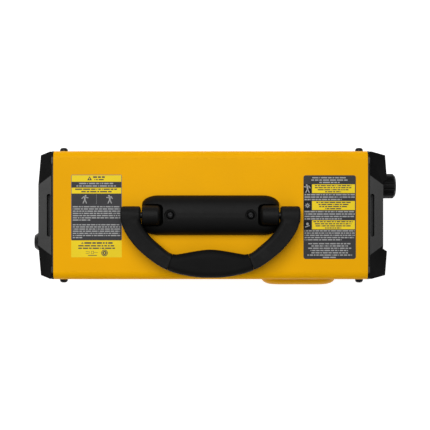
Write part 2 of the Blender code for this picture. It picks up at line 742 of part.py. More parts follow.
def spline(stations, steps):
    """A smooth run through the stations, every value of them at once."""
    ends = [tuple(2 * a - b for a, b in zip(stations[0], stations[1]))]
    mirrored = (-stations[-2][0], *stations[-2][1:])
    knots = ends + list(stations) + [mirrored]
    run = []
    for p0, p1, p2, p3 in zip(knots, knots[1:], knots[2:], knots[3:]):
        for step in range(steps):
            t = step / steps
            run.append(tuple(
                0.5 * (2 * b + (c - a) * t + (2 * a - 5 * b + 4 * c - d) * t * t
                       + (3 * b - a - 3 * c + d) * t ** 3)
                for a, b, c, d in zip(p0, p1, p2, p3)
            ))
    run.append(tuple(stations[-1]))
    return run


def section(place, tangent, width, depth, points, squareness):
    """A rounded section square to the tangent, width in the handle's plane and depth across it."""
    side = Vector((tangent.y, -tangent.x, 0))
    ring = []
    for i in range(points):
        angle = 2 * math.pi * (i + 0.5) / points
        c, s = math.cos(angle), math.sin(angle)
        across = math.copysign(abs(c) ** (2 / squareness), c) * width / 2
        up = math.copysign(abs(s) ** (2 / squareness), s) * depth / 2
        ring.append(place + side * across + Vector((0, 0, up)))
    return ring


def handle_run(steps=1):
    """Place, tangent, width and depth along the whole handle, from +X round to -X."""
    half = spline([(ARM_MIDDLE * x, HANDLE_REACH * y, w, d) for x, y, w, d in HANDLE_SHAPE], steps)
    whole = half + [(-x, y, w, d) for x, y, w, d in reversed(half[:-1])]
    places = [Vector((x, -y, HINGE_Z)) for x, y, w, d in whole]
    last = len(whole) - 1
    run = []
    for i, (x, y, width, depth) in enumerate(whole):
        tangent = (places[min(i + 1, last)] - places[max(i - 1, 0)]).normalized()
        if i in (0, last):
            tangent = Vector((0, -1 if i == 0 else 1, 0))
        run.append((places[i], tangent, width, depth))
    return run


HANDLE_POINTS = 12
HANDLE_STEPS = 1
ARM_SQUARENESS = 3.2
GRIP_SQUARENESS = 2.5


def arm_end(side):
    """Rounded end of an arm about the hinge's axis, from its tip to the axis."""
    rings = []
    for angle in (78, 55, 28):
        swing = math.radians(angle)
        place = Vector((side * ARM_MIDDLE, ARM_DEPTH / 2 * math.sin(swing), HINGE_Z))
        width = ARM_WIDTH * (1 - 0.10 * math.sin(swing) ** 4)
        rings.append(section(place, Vector((0, -side, 0)), width, ARM_DEPTH * math.cos(swing),
                             HANDLE_POINTS, ARM_SQUARENESS))
    return rings


HINGE = Vector((0, 0, HINGE_Z))


def handle_axis():
    """An empty on the hinge's axis, which everything on the handle hangs from."""
    pivot = bpy.data.objects.new("handle_pivot", None)
    pivot.location = HINGE
    pivot.parent = CASE
    bpy.context.scene.collection.objects.link(pivot)
    return pivot


def hang(made, pivot):
    """Parents a piece drawn in the case's frame to its pivot."""
    made.parent = pivot
    made.location = made.location - pivot.location
    return made


def handle(pivot):
    """The stiff bail, whose thin core runs through the grip, and the soft grip moulded on it."""
    arms, core, grips = [], [], []
    for place, tangent, width, depth in handle_run(HANDLE_STEPS):
        if abs(place.x) > GRIP_HALF_LENGTH + 0.001:
            arms.append(section(place, tangent, width, depth, HANDLE_POINTS, ARM_SQUARENESS))
            continue
        if not grips:
            seam = [seam_station(1)]
            arms.append(section(*seam[0], HANDLE_POINTS, ARM_SQUARENESS))
            core.append(section(*core_station(*seam[0]), HANDLE_POINTS, 2))
            grips.append(seam_shift(*seam[0], GAP))
        if abs(place.x) < GRIP_HALF_LENGTH - 0.002:
            core.append(section(*core_station(place, tangent, width, depth), HANDLE_POINTS, 2))
            grips.append((place, tangent, width, depth))
        last_inside = len(arms)
    far_seam = seam_station(-1)
    core.append(section(*core_station(*far_seam), HANDLE_POINTS, 2))
    arms.insert(last_inside, section(*far_seam, HANDLE_POINTS, ARM_SQUARENESS))
    grips.append(seam_shift(*far_seam, -GAP))
    rings = arm_end(1) + arms[:last_inside] + core + arms[last_inside:] + arm_end(-1)[::-1]
    body = bmesh.new()
    skin(body, rings)
    bail = hang(solid("handle_bail", body, BLACK, origin=HINGE), pivot)
    bores = bmesh.new()
    bore, recess = BOLT_RADIUS + RUNNING, BOLT_HEAD_RADIUS + 2 * RUNNING
    for side in SIDES:
        near, seat, far = (side * x for x in (ARM_INNER_FACE - 0.003, BOLT_SEAT, ARM_OUTER_FACE + 0.003))
        turned(bores, [(0, near), (bore, near), (bore, seat), (recess, seat), (recess, far), (0, far)],
               "X", (0, HINGE_Z), 20)
    cut(bail, bores)
    outer = [section(p, t, w + 0.0008, d + 0.0006, HANDLE_POINTS, GRIP_SQUARENESS) for p, t, w, d in grips]
    inner = [section(p, t, CORE_WIDTH + 2 * GAP, CORE_DEPTH + 2 * GAP, HANDLE_POINTS, 2)
             for p, t, w, d in grips]
    sleeve = bmesh.new()
    skin(sleeve, outer + inner[::-1], cyclic=True)
    hang(solid("handle_grip", sleeve, SOFT, origin=HINGE), pivot)


def seam_station(side):
    """The handle's line where the soft grip starts."""
    run = handle_run(12)
    return min(run, key=lambda station: abs(station[0].x - side * GRIP_HALF_LENGTH))


def core_station(place, tangent, width, depth):
    return place, tangent, CORE_WIDTH, CORE_DEPTH


def seam_shift(place, tangent, width, depth, distance):
    """The same station, moved along the handle by a distance."""
    return place + tangent * distance, tangent, width, depth


def pivot_bolts():
    """Shoulder bolts from each arm's outer face into the barrels."""
    for name, sign in ENDS.items():
        seat = BOLT_SEAT + RUNNING
        profile = [(0, BARREL_FACE - BOLT_GRIP), (BOLT_RADIUS, BARREL_FACE - BOLT_GRIP),
                   (BOLT_RADIUS, seat), (BOLT_HEAD_RADIUS, seat),
                   (BOLT_HEAD_RADIUS, seat + BOLT_HEAD_HEIGHT * 0.6),
                   (BOLT_HEAD_RADIUS * 0.6, seat + BOLT_HEAD_HEIGHT), (0, seat + BOLT_HEAD_HEIGHT)]
        bolt = bmesh.new()
        turned(bolt, [(r, sign * x) for r, x in profile], "X", (0, HINGE_Z), 20)
        solid(f"pivot_bolt_{name}", bolt, DARK_STEEL)


# ---------------------------------------------------------------- front panel


def front(depth):
    """Place along X of a depth outwards from the cover's front edge."""
    return HALF_LENGTH + depth


def rear(depth):
    return -(HALF_LENGTH + depth)


LAMP_PLACES = tuple((y, CONTROLS_Z - 0.022) for y in (-0.042, -0.020, 0.002))
BUTTONS = {"mode_button": (-0.038, CONTROLS_Z), "arc_force_button": (-0.002, CONTROLS_Z)}


def front_panel():
    """Panel with cut-outs for the display, knob, buttons, lamps and output sockets."""
    panel = end_panel("front")
    holes = bmesh.new()
    near, far = front(PANEL_SEAT["front"] - 0.002), front(PANEL_FACE["front"] + 0.002)
    low, high = around((DISPLAY_ACROSS, KNOB_Z), DISPLAY_WIDTH, DISPLAY_HEIGHT)
    prism(holes, rounded(low, high, 0.003, 2), "X", near, far)
    prism(holes, circle(SHAFT_RADIUS + 0.001, (KNOB_ACROSS, KNOB_Z), 12), "X", near, far)
    for place in BUTTONS.values():
        prism(holes, circle(BUTTON_RADIUS + RUNNING, place, 16), "X", near, far)
    for place in LAMP_PLACES:
        prism(holes, circle(LAMP_RADIUS, place, 12), "X", near, far)
    for side in SIDES:
        prism(holes, circle(SOCKET_CONTACT_RADIUS + 0.004, (side * SOCKET_ACROSS, SOCKET_ABOVE_FLOOR), 20),
              "X", near, far)
    cut(panel, holes)


def control_knob():
    """Fluted knob and the potentiometer shaft that turns with it; the potentiometer stays."""
    centre = (KNOB_ACROSS, KNOB_Z)
    start = front(PANEL_FACE["front"] + KNOB_CLEAR)
    end = front(KNOB_END)
    socket_end = start + 0.012
    profile = [(SHAFT_RADIUS + GAP, start), (KNOB_RADIUS - 0.0005, start), (KNOB_RADIUS, start + 0.001),
               (KNOB_RADIUS, end - 0.003), (KNOB_RADIUS - 0.003, end)]
    rings = [[put("X", x, *p) for p in circle(r, centre, 24)] for r, x in profile]
    body = bmesh.new()
    loops = [[body.verts.new(p) for p in ring] for ring in rings]
    bore = [body.verts.new(put("X", socket_end, *p)) for p in circle(SHAFT_RADIUS + GAP, centre, 24)]
    loops = [bore] + loops
    body.faces.new(loops[0])
    body.faces.new(loops[-1])
    for near, far in zip(loops, loops[1:]):
        for i in range(24):
            j = (i + 1) % 24
            body.faces.new((near[i], near[j], far[j], far[i]))
    middle = put("X", start, *centre)
    solid("control_knob", body, BLACK, origin=middle)
    shaft = bmesh.new()
    back = front(PANEL_SEAT["front"] - 0.004)
    turned(shaft, [(0, back), (SHAFT_RADIUS, back), (SHAFT_RADIUS, socket_end - GAP), (0, socket_end - GAP)],
           "X", centre, 12)
    solid("potentiometer_shaft", shaft, ZINC, origin=middle)
    pot = bmesh.new()
    prism(pot, circle(0.0085, centre, 16), "X", back - GAP - 0.010, back - GAP)
    solid("potentiometer", pot, ZINC)


def display():
    """Dark lens set flush in the panel, and the numeral module behind it."""
    centre = (DISPLAY_ACROSS, KNOB_Z)
    face = PANEL_FACE["front"]
    lens = bmesh.new()
    low, high = around(centre, DISPLAY_WIDTH - 2 * GAP, DISPLAY_HEIGHT - 2 * GAP)
    prism(lens, rounded(low, high, 0.0027, 2), "X", front(face - 0.0018), front(face + 0.0003))
    solid("display_lens", lens, CLEAR)
    module = bmesh.new()
    low, high = around(centre, DISPLAY_WIDTH - 0.008, DISPLAY_HEIGHT - 0.006)
    prism(module, rectangle(low, high), "X", front(face - 0.012), front(face - 0.0018 - GAP))
    solid("display_module", module, FAN_BLACK)


def control_buttons():
    """Round push buttons, each with a flange behind the panel that stops it falling out."""
    back = front(PANEL_SEAT["front"])
    tip = front(PANEL_FACE["front"] + BUTTON_PROUD)
    for name, place in BUTTONS.items():
        cap = bmesh.new()
        flange = back - 0.0004
        turned(cap, [(0, flange - 0.0012), (BUTTON_RADIUS + 0.0012, flange - 0.0012),
                     (BUTTON_RADIUS + 0.0012, flange), (BUTTON_RADIUS, flange), (BUTTON_RADIUS, tip - 0.0006),
                     (BUTTON_RADIUS - 0.0008, tip), (0, tip)], "X", place, 16)
        solid(name, cap, FAN_BLACK, origin=put("X", back, *place))


def control_board():
    """Board behind the front panel, with the two switches that the buttons press."""
    place = front(PANEL_SEAT["front"] - 0.020)
    low, high = around((0, (KNOB_Z + CONTROLS_Z) / 2 - 0.004), 0.112, 0.092)
    sheet = bmesh.new()
    prism(sheet, rectangle(low, high), "X", place - BOARD_THICKNESS, place)
    board = solid("control_board", sheet, BOARD_GREEN)
    switches = bmesh.new()
    for button in BUTTONS.values():
        low, high = around(button, 0.006, 0.006)
        prism(switches, rectangle(low, high), "X", place - BOARD_THICKNESS / 2,
              front(PANEL_SEAT["front"] - 0.0035))
    join(board, switches)


def output_sockets():
    """Twist-lock output sockets: insulating collars, brass contact sleeves and nuts behind."""
    face = front(PANEL_FACE["front"])
    for name, side in (("positive", 1), ("negative", -1)):
        centre = (side * SOCKET_ACROSS, SOCKET_ABOVE_FLOOR)
        hole = SOCKET_CONTACT_RADIUS + 0.004
        body = bmesh.new()
        inner = SOCKET_CONTACT_RADIUS + GAP
        rings = []
        for radius, place in ((inner, face - 0.014), (hole - GAP, face - 0.014), (hole - GAP, face + GAP),
                              (SOCKET_RADIUS, face + GAP), (SOCKET_RADIUS, face + 0.0035),
                              (SOCKET_RADIUS - 0.003, face + SOCKET_PROUD), (inner, face + SOCKET_PROUD)):
            rings.append([put("X", place, *p) for p in circle(radius, centre, 20)])
        skin(body, rings, cyclic=True)
        solid(f"{name}_socket", body, BLACK)
        sleeve = bmesh.new()
        outer_end = face + SOCKET_PROUD - 0.001
        inner_end = outer_end - SOCKET_DEPTH
        loops = []
        for radius, place in ((SOCKET_BORE, inner_end + 0.003), (SOCKET_BORE, outer_end),
                              (SOCKET_CONTACT_RADIUS, outer_end), (SOCKET_CONTACT_RADIUS, inner_end)):
            loops.append([sleeve.verts.new(put("X", place, *p)) for p in circle(radius, centre, 20)])
        sleeve.faces.new(loops[0])
        sleeve.faces.new(loops[-1])
        for near, far in zip(loops, loops[1:]):
            for i in range(20):
                j = (i + 1) % 20
                sleeve.faces.new((near[i], near[j], far[j], far[i]))
        solid(f"{name}_contact", sleeve, BRASS)


# ---------------------------------------------------------------- rear panel

GRILLE_PITCH = 0.0115
GRILLE_SLOT = 0.0065
GRILLE_RADIUS = DUCT_RADIUS - 0.002
GRILLE_ROWS = 2 * int((GRILLE_RADIUS - GRILLE_SLOT) / GRILLE_PITCH) + 1


def rear_panel():
    """Panel with the fan's louvre slots and the holes for switch, gland and screws."""
    panel = end_panel("rear")
    holes = bmesh.new()
    near, far = rear(PANEL_SEAT["rear"] - 0.003), rear(PANEL_FACE["rear"] + 0.002)
    for row in range(GRILLE_ROWS):
        rise = (row - (GRILLE_ROWS - 1) / 2) * GRILLE_PITCH
        half = math.sqrt(GRILLE_RADIUS ** 2 - rise ** 2)
        for side in SIDES:
            edges = sorted((side * 0.002, side * half))
            prism(holes, rounded((edges[0], FAN_ABOVE_FLOOR + rise - GRILLE_SLOT / 2),
                                 (edges[1], FAN_ABOVE_FLOOR + rise + GRILLE_SLOT / 2), 0.0025, 1),
                  "X", near, far)
    low, high = around((ROCKER_ACROSS, ROCKER_ABOVE_FLOOR), ROCKER_WIDTH + 0.006, SWITCH_HEIGHT)
    prism(holes, rectangle(low, high), "X", near, far)
    prism(holes, circle(GLAND_RADIUS - 0.003, (GLAND_ACROSS, ROCKER_ABOVE_FLOOR), 16), "X", near, far)
    cut(panel, holes)


def fan():
    """Axial fan: a square frame with a round duct and a spider, and its rotor."""
    start = rear(PANEL_SEAT["rear"]) + GAP
    end = start + FAN_DEPTH
    centre = (0, FAN_ABOVE_FLOOR)
    frame_mesh = bmesh.new()
    prism(frame_mesh, rounded(*around(centre, FAN_SIZE, FAN_SIZE), 0.006, 2), "X", start, end)
    frame = solid("fan_frame", frame_mesh, FAN_BLACK)
    duct = bmesh.new()
    prism(duct, circle(DUCT_RADIUS, centre, 32), "X", start - 0.002, end + 0.002)
    cut(frame, duct)
    spider = bmesh.new()
    prism(spider, circle(SPIDER_RADIUS, centre, 20), "X", end - SPIDER_THICKNESS, end)
    join(frame, spider)
    arms = bmesh.new()
    for turn in range(3):
        spin = Matrix.Rotation(math.radians(120 * turn + 90), 4, "X")
        arm = bmesh.new()
        box(arm, (end - SPIDER_THICKNESS, SPIDER_RADIUS - 0.002, -0.0025),
            (end, DUCT_RADIUS + FAN_WALL * 0.6, 0.0025))
        arm.transform(Matrix.Translation((0, 0, FAN_ABOVE_FLOOR)) @ spin)
        scratch = bpy.data.meshes.new("scratch")
        arm.to_mesh(scratch)
        arm.free()
        arms.from_mesh(scratch)
    join(frame, arms)
    hub_end = end - SPIDER_THICKNESS - 0.001
    rotor_mesh = bmesh.new()
    turned(rotor_mesh, [(0, start + 0.003), (HUB_RADIUS - 0.003, start + 0.003),
                        (HUB_RADIUS, start + 0.005), (HUB_RADIUS, hub_end), (0, hub_end)], "X", centre, 20)
    rotor = solid("fan_rotor", rotor_mesh, FAN_BLACK, origin=put("X", start + 0.015, *centre))
    blades = bmesh.new()
    for index in range(FAN_BLADES):
        fan_blade(blades, start + 0.006, hub_end - 0.002, 2 * math.pi * index / FAN_BLADES)
    join(rotor, blades)


def fan_blade(mesh, start, end, turn):
    """One twisted blade, from inside the hub to just clear of the duct."""
    rings = []
    tip = DUCT_RADIUS - BLADE_CLEAR
    root = HUB_RADIUS - 0.0015
    for radius, sweep in ((root, 0.52), ((root + tip) / 2, 0.42), (tip, 0.34)):
        ring = []
        for share, thick in ((0, -1), (0.5, -1), (1, -1), (1, 1), (0.5, 1), (0, 1)):
            angle = turn + sweep * (share - 0.5) * 1.3 + thick * 0.0007 / radius
            ring.append(put("X", start + (end - start) * share, radius * math.cos(angle),
                            FAN_ABOVE_FLOOR + radius * math.sin(angle)))
        rings.append(ring)
    skin(mesh, rings)


def power_switch():
    """Framed rocker switch: the housing clips into the rear panel, the rocker tips inside it."""
    centre = (ROCKER_ACROSS, ROCKER_ABOVE_FLOOR)
    face = PANEL_FACE["rear"]
    housing_mesh = bmesh.new()
    rim = around(centre, ROCKER_WIDTH + 0.006 + 2 * SWITCH_RIM, SWITCH_HEIGHT + 2 * SWITCH_RIM)
    prism(housing_mesh, rounded(*rim, 0.002, 2), "X",
          rear(face + GAP + 0.0025), rear(face + GAP))
    housing = solid("switch_housing", housing_mesh, FAN_BLACK)
    shell = bmesh.new()
    prism(shell, rectangle(*around(centre, ROCKER_WIDTH + 0.006 - 2 * GAP, SWITCH_HEIGHT - 2 * GAP)), "X",
          rear(face + 0.001), rear(face - SWITCH_DEPTH))
    join(housing, shell)
    cavity = bmesh.new()
    prism(cavity, rectangle(*around(centre, ROCKER_WIDTH + 2 * GAP, 2 * ROCKER_RADIUS + 0.0012)), "X",
          rear(face + 0.010), rear(face - 0.014))
    cut(housing, cavity)
    hinge = Vector((rear(face - 0.0015), ROCKER_ACROSS, ROCKER_ABOVE_FLOOR))
    half = ROCKER_RADIUS
    outline = [(-0.0035, 0)] + arc((0, 0), half, 121.5, 60, 5) + arc((0, 0), half, -60, -121.5, 5)
    rocker_mesh = bmesh.new()
    prism(rocker_mesh, [(hinge.x + x, hinge.z + z) for x, z in outline], "Y",
          ROCKER_ACROSS - ROCKER_WIDTH / 2, ROCKER_ACROSS + ROCKER_WIDTH / 2)
    rocker = solid("power_rocker", rocker_mesh, RED, origin=hinge)
    rocker.rotation_euler = (0, -ROCKER_TILT, 0)


def cable_gland():
    """Clamp gland for the mains cord: body through the panel, dome nut, sealing ring, back nut."""
    centre = (GLAND_ACROSS, ROCKER_ABOVE_FLOOR)
    face = PANEL_FACE["rear"]
    neck = GLAND_RADIUS - 0.003 - GAP
    bore = GLAND_BORE + 0.001
    body_profile = ((bore, -0.012), (neck, -0.012), (neck, GAP), (GLAND_RADIUS, GAP),
                    (GLAND_RADIUS, 0.006), (neck, 0.006), (neck, 0.013), (bore, 0.013))
    nut_profile = ((neck + GAP, 0.0065), (GLAND_RADIUS, 0.0065), (GLAND_RADIUS, 0.016),
                   (GLAND_RADIUS - 0.0035, GLAND_PROUD), (GLAND_BORE, GLAND_PROUD), (GLAND_BORE, 0.0145),
                   (neck + GAP, 0.0135))
    for name, profile, material, points in (
        ("gland_body", body_profile, BLACK, 18), ("gland_nut", nut_profile, BLACK, 18),
    ):
        mesh = bmesh.new()
        skin(mesh, [[put("X", rear(face + x), *p) for p in circle(r, centre, points)] for r, x in profile],
             cyclic=True)
        solid(name, mesh, material)


# ---------------------------------------------------------------- inside

ON_BOARD = BOARD_HEIGHT + BOARD_THICKNESS + GAP


def power_board():
    board = bmesh.new()
    prism(board, rectangle(BOARD_LOW, BOARD_HIGH), "Z", BOARD_HEIGHT, BOARD_HEIGHT + BOARD_THICKNESS)
    solid("power_board", board, BOARD_GREEN)


HEATSINKS = {
    "inverter_heatsink": (BOARD_LOW[0] + 0.022, -0.020),
    "output_heatsink": (-0.005, BOARD_HIGH[0] - 0.055),
}
HEATSINK_LOW_Y, HEATSINK_HIGH_Y = 0.004, 0.060
HEATSINK_HEIGHT = 0.080
FIN_COUNT, FIN = 8, 0.0018


def heatsinks():
    """Finned extrusions in the fan's air stream, fins along it."""
    for name, (start, end) in HEATSINKS.items():
        base = ON_BOARD + 0.006
        outline = [(HEATSINK_LOW_Y, ON_BOARD), (HEATSINK_HIGH_Y, ON_BOARD)]
        pitch = (HEATSINK_HIGH_Y - HEATSINK_LOW_Y - FIN) / (FIN_COUNT - 1)
        top = ON_BOARD + HEATSINK_HEIGHT
        for index in reversed(range(FIN_COUNT)):
            edge = HEATSINK_LOW_Y + index * pitch
            outline += [(edge + FIN, top), (edge, top)]
            if index:
                outline += [(edge, base), (edge - pitch + FIN, base)]
        fins = bmesh.new()
        prism(fins, outline, "X", start, end)
        solid(name, fins, ALUMINIUM)


def power_modules():
    """Transistor and rectifier modules clamped to the inner faces of the heatsinks."""
    for name, sink in (("inverter_module", "inverter_heatsink"), ("rectifier_module", "output_heatsink")):
        middle = sum(HEATSINKS[sink]) / 2
        block = bmesh.new()
        face = HEATSINK_LOW_Y - GAP
        box(block, (middle - MODULE_LENGTH / 2, face - MODULE_THICKNESS, ON_BOARD + 0.004),
            (middle + MODULE_LENGTH / 2, face, ON_BOARD + 0.040))
        solid(name, block, FERRITE)


def capacitors():
    for number in (1, 2):
        can = bmesh.new()
        top = ON_BOARD + CAPACITOR_HEIGHT
        turned(can, [(0, ON_BOARD), (CAPACITOR_RADIUS, ON_BOARD), (CAPACITOR_RADIUS, top - 0.001),
                     (CAPACITOR_RADIUS - 0.0015, top), (0, top)], "Z",
               (BOARD_LOW[0] + 0.022 + 0.034 * number, -0.040), 20)
        solid(f"bus_capacitor_{number}", can, FERRITE)


def transformer():
    """Ferrite frame round the winding, standing on the power board."""
    x, y = TRANSFORMER_PLACE
    core = bmesh.new()
    low, high = around((x, ON_BOARD + 0.032), TRANSFORMER_LENGTH, TRANSFORMER_HEIGHT)
    prism(core, rectangle(low, high), "Y", y - 0.011, y + 0.011)
    frame = solid("transformer_core", core, FERRITE)
    windows = bmesh.new()
    for side in SIDES:
        low, high = around((x + side * 0.0155, ON_BOARD + 0.032), 0.015, 0.040)
        prism(windows, rectangle(low, high), "Y", y - 0.02, y + 0.02)
    cut(frame, windows)
    coil = bmesh.new()
    rings = []
    for inset, height in ((0.0132, 0.0135), (0, 0.0135), (0, 0.0505), (0.0132, 0.0505)):
        half_x, half_y = 0.0220 - inset, 0.0255 - inset
        outline = rounded((x - half_x, y - half_y), (x + half_x, y + half_y), 0.002 if inset else 0.008, 3)
        rings.append([put("Z", ON_BOARD + height, *p) for p in outline])
    skin(coil, rings, cyclic=True)
    solid("transformer_winding", coil, WINDING)


CHOKE_RADIUS = 0.033
CHOKE_Z = CASE_TOP - BULGE_BELOW_TOP - BULGE_HEIGHT / 2


def choke():
    """Wound ring behind the pressed bulge, on an upright bracket from the tray."""
    centre = (BULGE_X, CHOKE_Z)
    outer_y = -(HALF_WIDTH + BULGE_PROUD - SHEET - 0.004)
    inner_y = outer_y + 0.036
    rings = []
    for radius, y in ((0.014, inner_y), (CHOKE_RADIUS - 0.004, inner_y), (CHOKE_RADIUS, inner_y - 0.005),
                      (CHOKE_RADIUS, outer_y + 0.007), (CHOKE_RADIUS - 0.006, outer_y),
                      (0.016, outer_y), (0.0125, outer_y + 0.005)):
        rings.append([put("Y", y, *p) for p in circle(radius, centre, 24)])
    body = bmesh.new()
    skin(body, rings, cyclic=True)
    solid("output_choke", body, WINDING)
    plate_y = inner_y + GAP
    bracket = bmesh.new()
    outline = [
        (plate_y, TRAY_TOP + GAP), (plate_y + 0.020, TRAY_TOP + GAP),
        (plate_y + 0.020, TRAY_TOP + 0.0023), (plate_y + 0.002, TRAY_TOP + 0.0023),
        (plate_y + 0.002, CHOKE_Z + 0.020), (plate_y, CHOKE_Z + 0.020),
    ]
    prism(bracket, outline, "X", BOARD_HIGH[0] + 0.002, HALF_LENGTH - LIP_DEPTH - 0.004)
    arm = solid("choke_bracket", bracket, ZINC)
    shelf = bmesh.new()
    box(shelf, (BULGE_X - 0.020, plate_y, CHOKE_Z - 0.020),
        (BOARD_HIGH[0] + 0.004, plate_y + 0.002, CHOKE_Z + 0.020))
    join(arm, shelf)
    stud = bmesh.new()
    prism(stud, circle(0.004, centre, 12), "Y", outer_y + 0.0045, plate_y + 0.001)
    join(arm, stud)


def busbars():
    """Copper straps from the output heatsink and the transformer to the two output sockets."""
    end = front(PANEL_FACE["front"] + SOCKET_PROUD - 0.001 - SOCKET_DEPTH) - GAP
    for name, side in (("positive_busbar", 1), ("negative_busbar", -1)):
        y = side * SOCKET_ACROSS
        back = BOARD_HIGH[0] - 0.018
        z = ON_BOARD
        outline = [
            (back, z), (end, z), (end, SOCKET_ABOVE_FLOOR + 0.009),
            (end - 0.0025, SOCKET_ABOVE_FLOOR + 0.009), (end - 0.0025, z + 0.0025), (back, z + 0.0025),
        ]
        strap = bmesh.new()
        prism(strap, outline, "Y", y - 0.007, y + 0.007)
        solid(name, strap, COPPER)


def leads():
    """Insulated leads held inside the case: gland to switch, switch to board, board to panel."""
    gland_x = rear(PANEL_SEAT["rear"] - 0.012)
    switch_x = rear(PANEL_FACE["rear"] - SWITCH_DEPTH - 0.0005) + 0.002
    top = ROCKER_ABOVE_FLOOR
    board = BOARD_HEIGHT + BOARD_THICKNESS + 0.004
    edge = BOARD_HIGH[0]
    routes = {
        "mains_lead": ((gland_x + 0.004, GLAND_ACROSS, top), (gland_x + 0.016, GLAND_ACROSS, top),
                       (gland_x + 0.026, -0.010, top + 0.004), (gland_x + 0.026, 0.018, top + 0.002),
                       (switch_x, ROCKER_ACROSS, top)),
        "switch_lead": ((switch_x, ROCKER_ACROSS, top - 0.009),
                        (rear(-0.0472), ROCKER_ACROSS, top - 0.020), (rear(-0.0562), 0.030, 0.180),
                        (rear(-0.0562), 0.000, 0.110), (rear(-0.0562), -0.005, ON_BOARD + 0.026)),
        "control_lead": ((front(-0.014), 0.030, CONTROLS_Z - 0.010),
                         (edge + 0.015, 0.030, CONTROLS_Z - 0.030), (edge, 0.028, 0.120),
                         (edge - 0.030, 0.030, 0.080), (edge - 0.032, 0.030, board + 0.004)),
    }
    for name, points in routes.items():
        curve = bpy.data.curves.new(name, "CURVE")
        curve.dimensions = "3D"
        curve.bevel_depth = LEAD_RADIUS
        curve.bevel_resolution = 2
        curve.use_fill_caps = True
        curve.resolution_u = 1
        line = curve.splines.new("POLY")
        run = smooth_route(points, 3)
        line.points.add(len(run) - 1)
        for knot, place in zip(line.points, run):
            knot.co = (*place, 1)
        curve.materials.append(LEAD_BLUE)
        made = bpy.data.objects.new(name, curve)
        bpy.context.scene.collection.objects.link(made)
        made.parent = CASE


def smooth_route(points, steps):
    """A smooth line through the points of a lead's route."""
    knots = [points[0], *points, points[-1]]
    run = []
    for p0, p1, p2, p3 in zip(knots, knots[1:], knots[2:], knots[3:]):
        for step in range(steps):
            t = step / steps
            run.append([
                0.5 * (2 * b + (c - a) * t + (2 * a - 5 * b + 4 * c - d) * t * t
                       + (3 * b - a - 3 * c + d) * t ** 3)
                for a, b, c, d in zip(p0, p1, p2, p3)
            ])
    run.append(list(points[-1]))
    return run


# ---------------------------------------------------------------- assembly

top_cover()
base_tray()
for end_name in ENDS:
    bezel(end_name)
cover_screws()
feet()

handle_base()
handle_base_screws()
handle(handle_axis())
pivot_bolts()

front_panel()
control_knob()
display()
control_buttons()
control_board()
output_sockets()

rear_panel()
fan()
power_switch()
cable_gland()

power_board()
heatsinks()
power_modules()
capacitors()
transformer()
choke()
busbars()
leads()
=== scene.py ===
import math
import random

import bmesh
import bpy
from mathutils import Matrix, Vector


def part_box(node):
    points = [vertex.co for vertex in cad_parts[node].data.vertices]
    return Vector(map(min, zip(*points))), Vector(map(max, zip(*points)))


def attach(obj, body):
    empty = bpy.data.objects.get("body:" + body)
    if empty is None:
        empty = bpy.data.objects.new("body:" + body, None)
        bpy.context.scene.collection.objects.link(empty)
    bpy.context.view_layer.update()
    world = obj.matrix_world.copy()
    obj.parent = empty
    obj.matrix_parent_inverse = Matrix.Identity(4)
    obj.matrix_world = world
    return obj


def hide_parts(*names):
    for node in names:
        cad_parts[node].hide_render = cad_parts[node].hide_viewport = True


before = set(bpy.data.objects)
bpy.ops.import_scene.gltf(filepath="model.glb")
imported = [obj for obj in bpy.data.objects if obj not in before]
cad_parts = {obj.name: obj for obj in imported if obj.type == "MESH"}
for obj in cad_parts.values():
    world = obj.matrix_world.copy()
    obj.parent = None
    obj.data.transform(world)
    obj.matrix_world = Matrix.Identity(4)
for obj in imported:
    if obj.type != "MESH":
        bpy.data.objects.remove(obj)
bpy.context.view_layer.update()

# ---------------------------------------------------------------- chassis and inner parts
# A folded zinc-plated tray carries the power board, heatsinks, transformer, choke and leads.
# These are seen only through the vents and the fan grille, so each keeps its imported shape
# and gets the finish of the stock it is made of.


def tint(red, green, blue):
    """A paint-chip colour, 0 to 255, as the light it reflects."""
    return [((c / 255 + 0.055) / 1.055) ** 2.4 if c > 10 else c / 255 / 12.92 for c in (red, green, blue)]


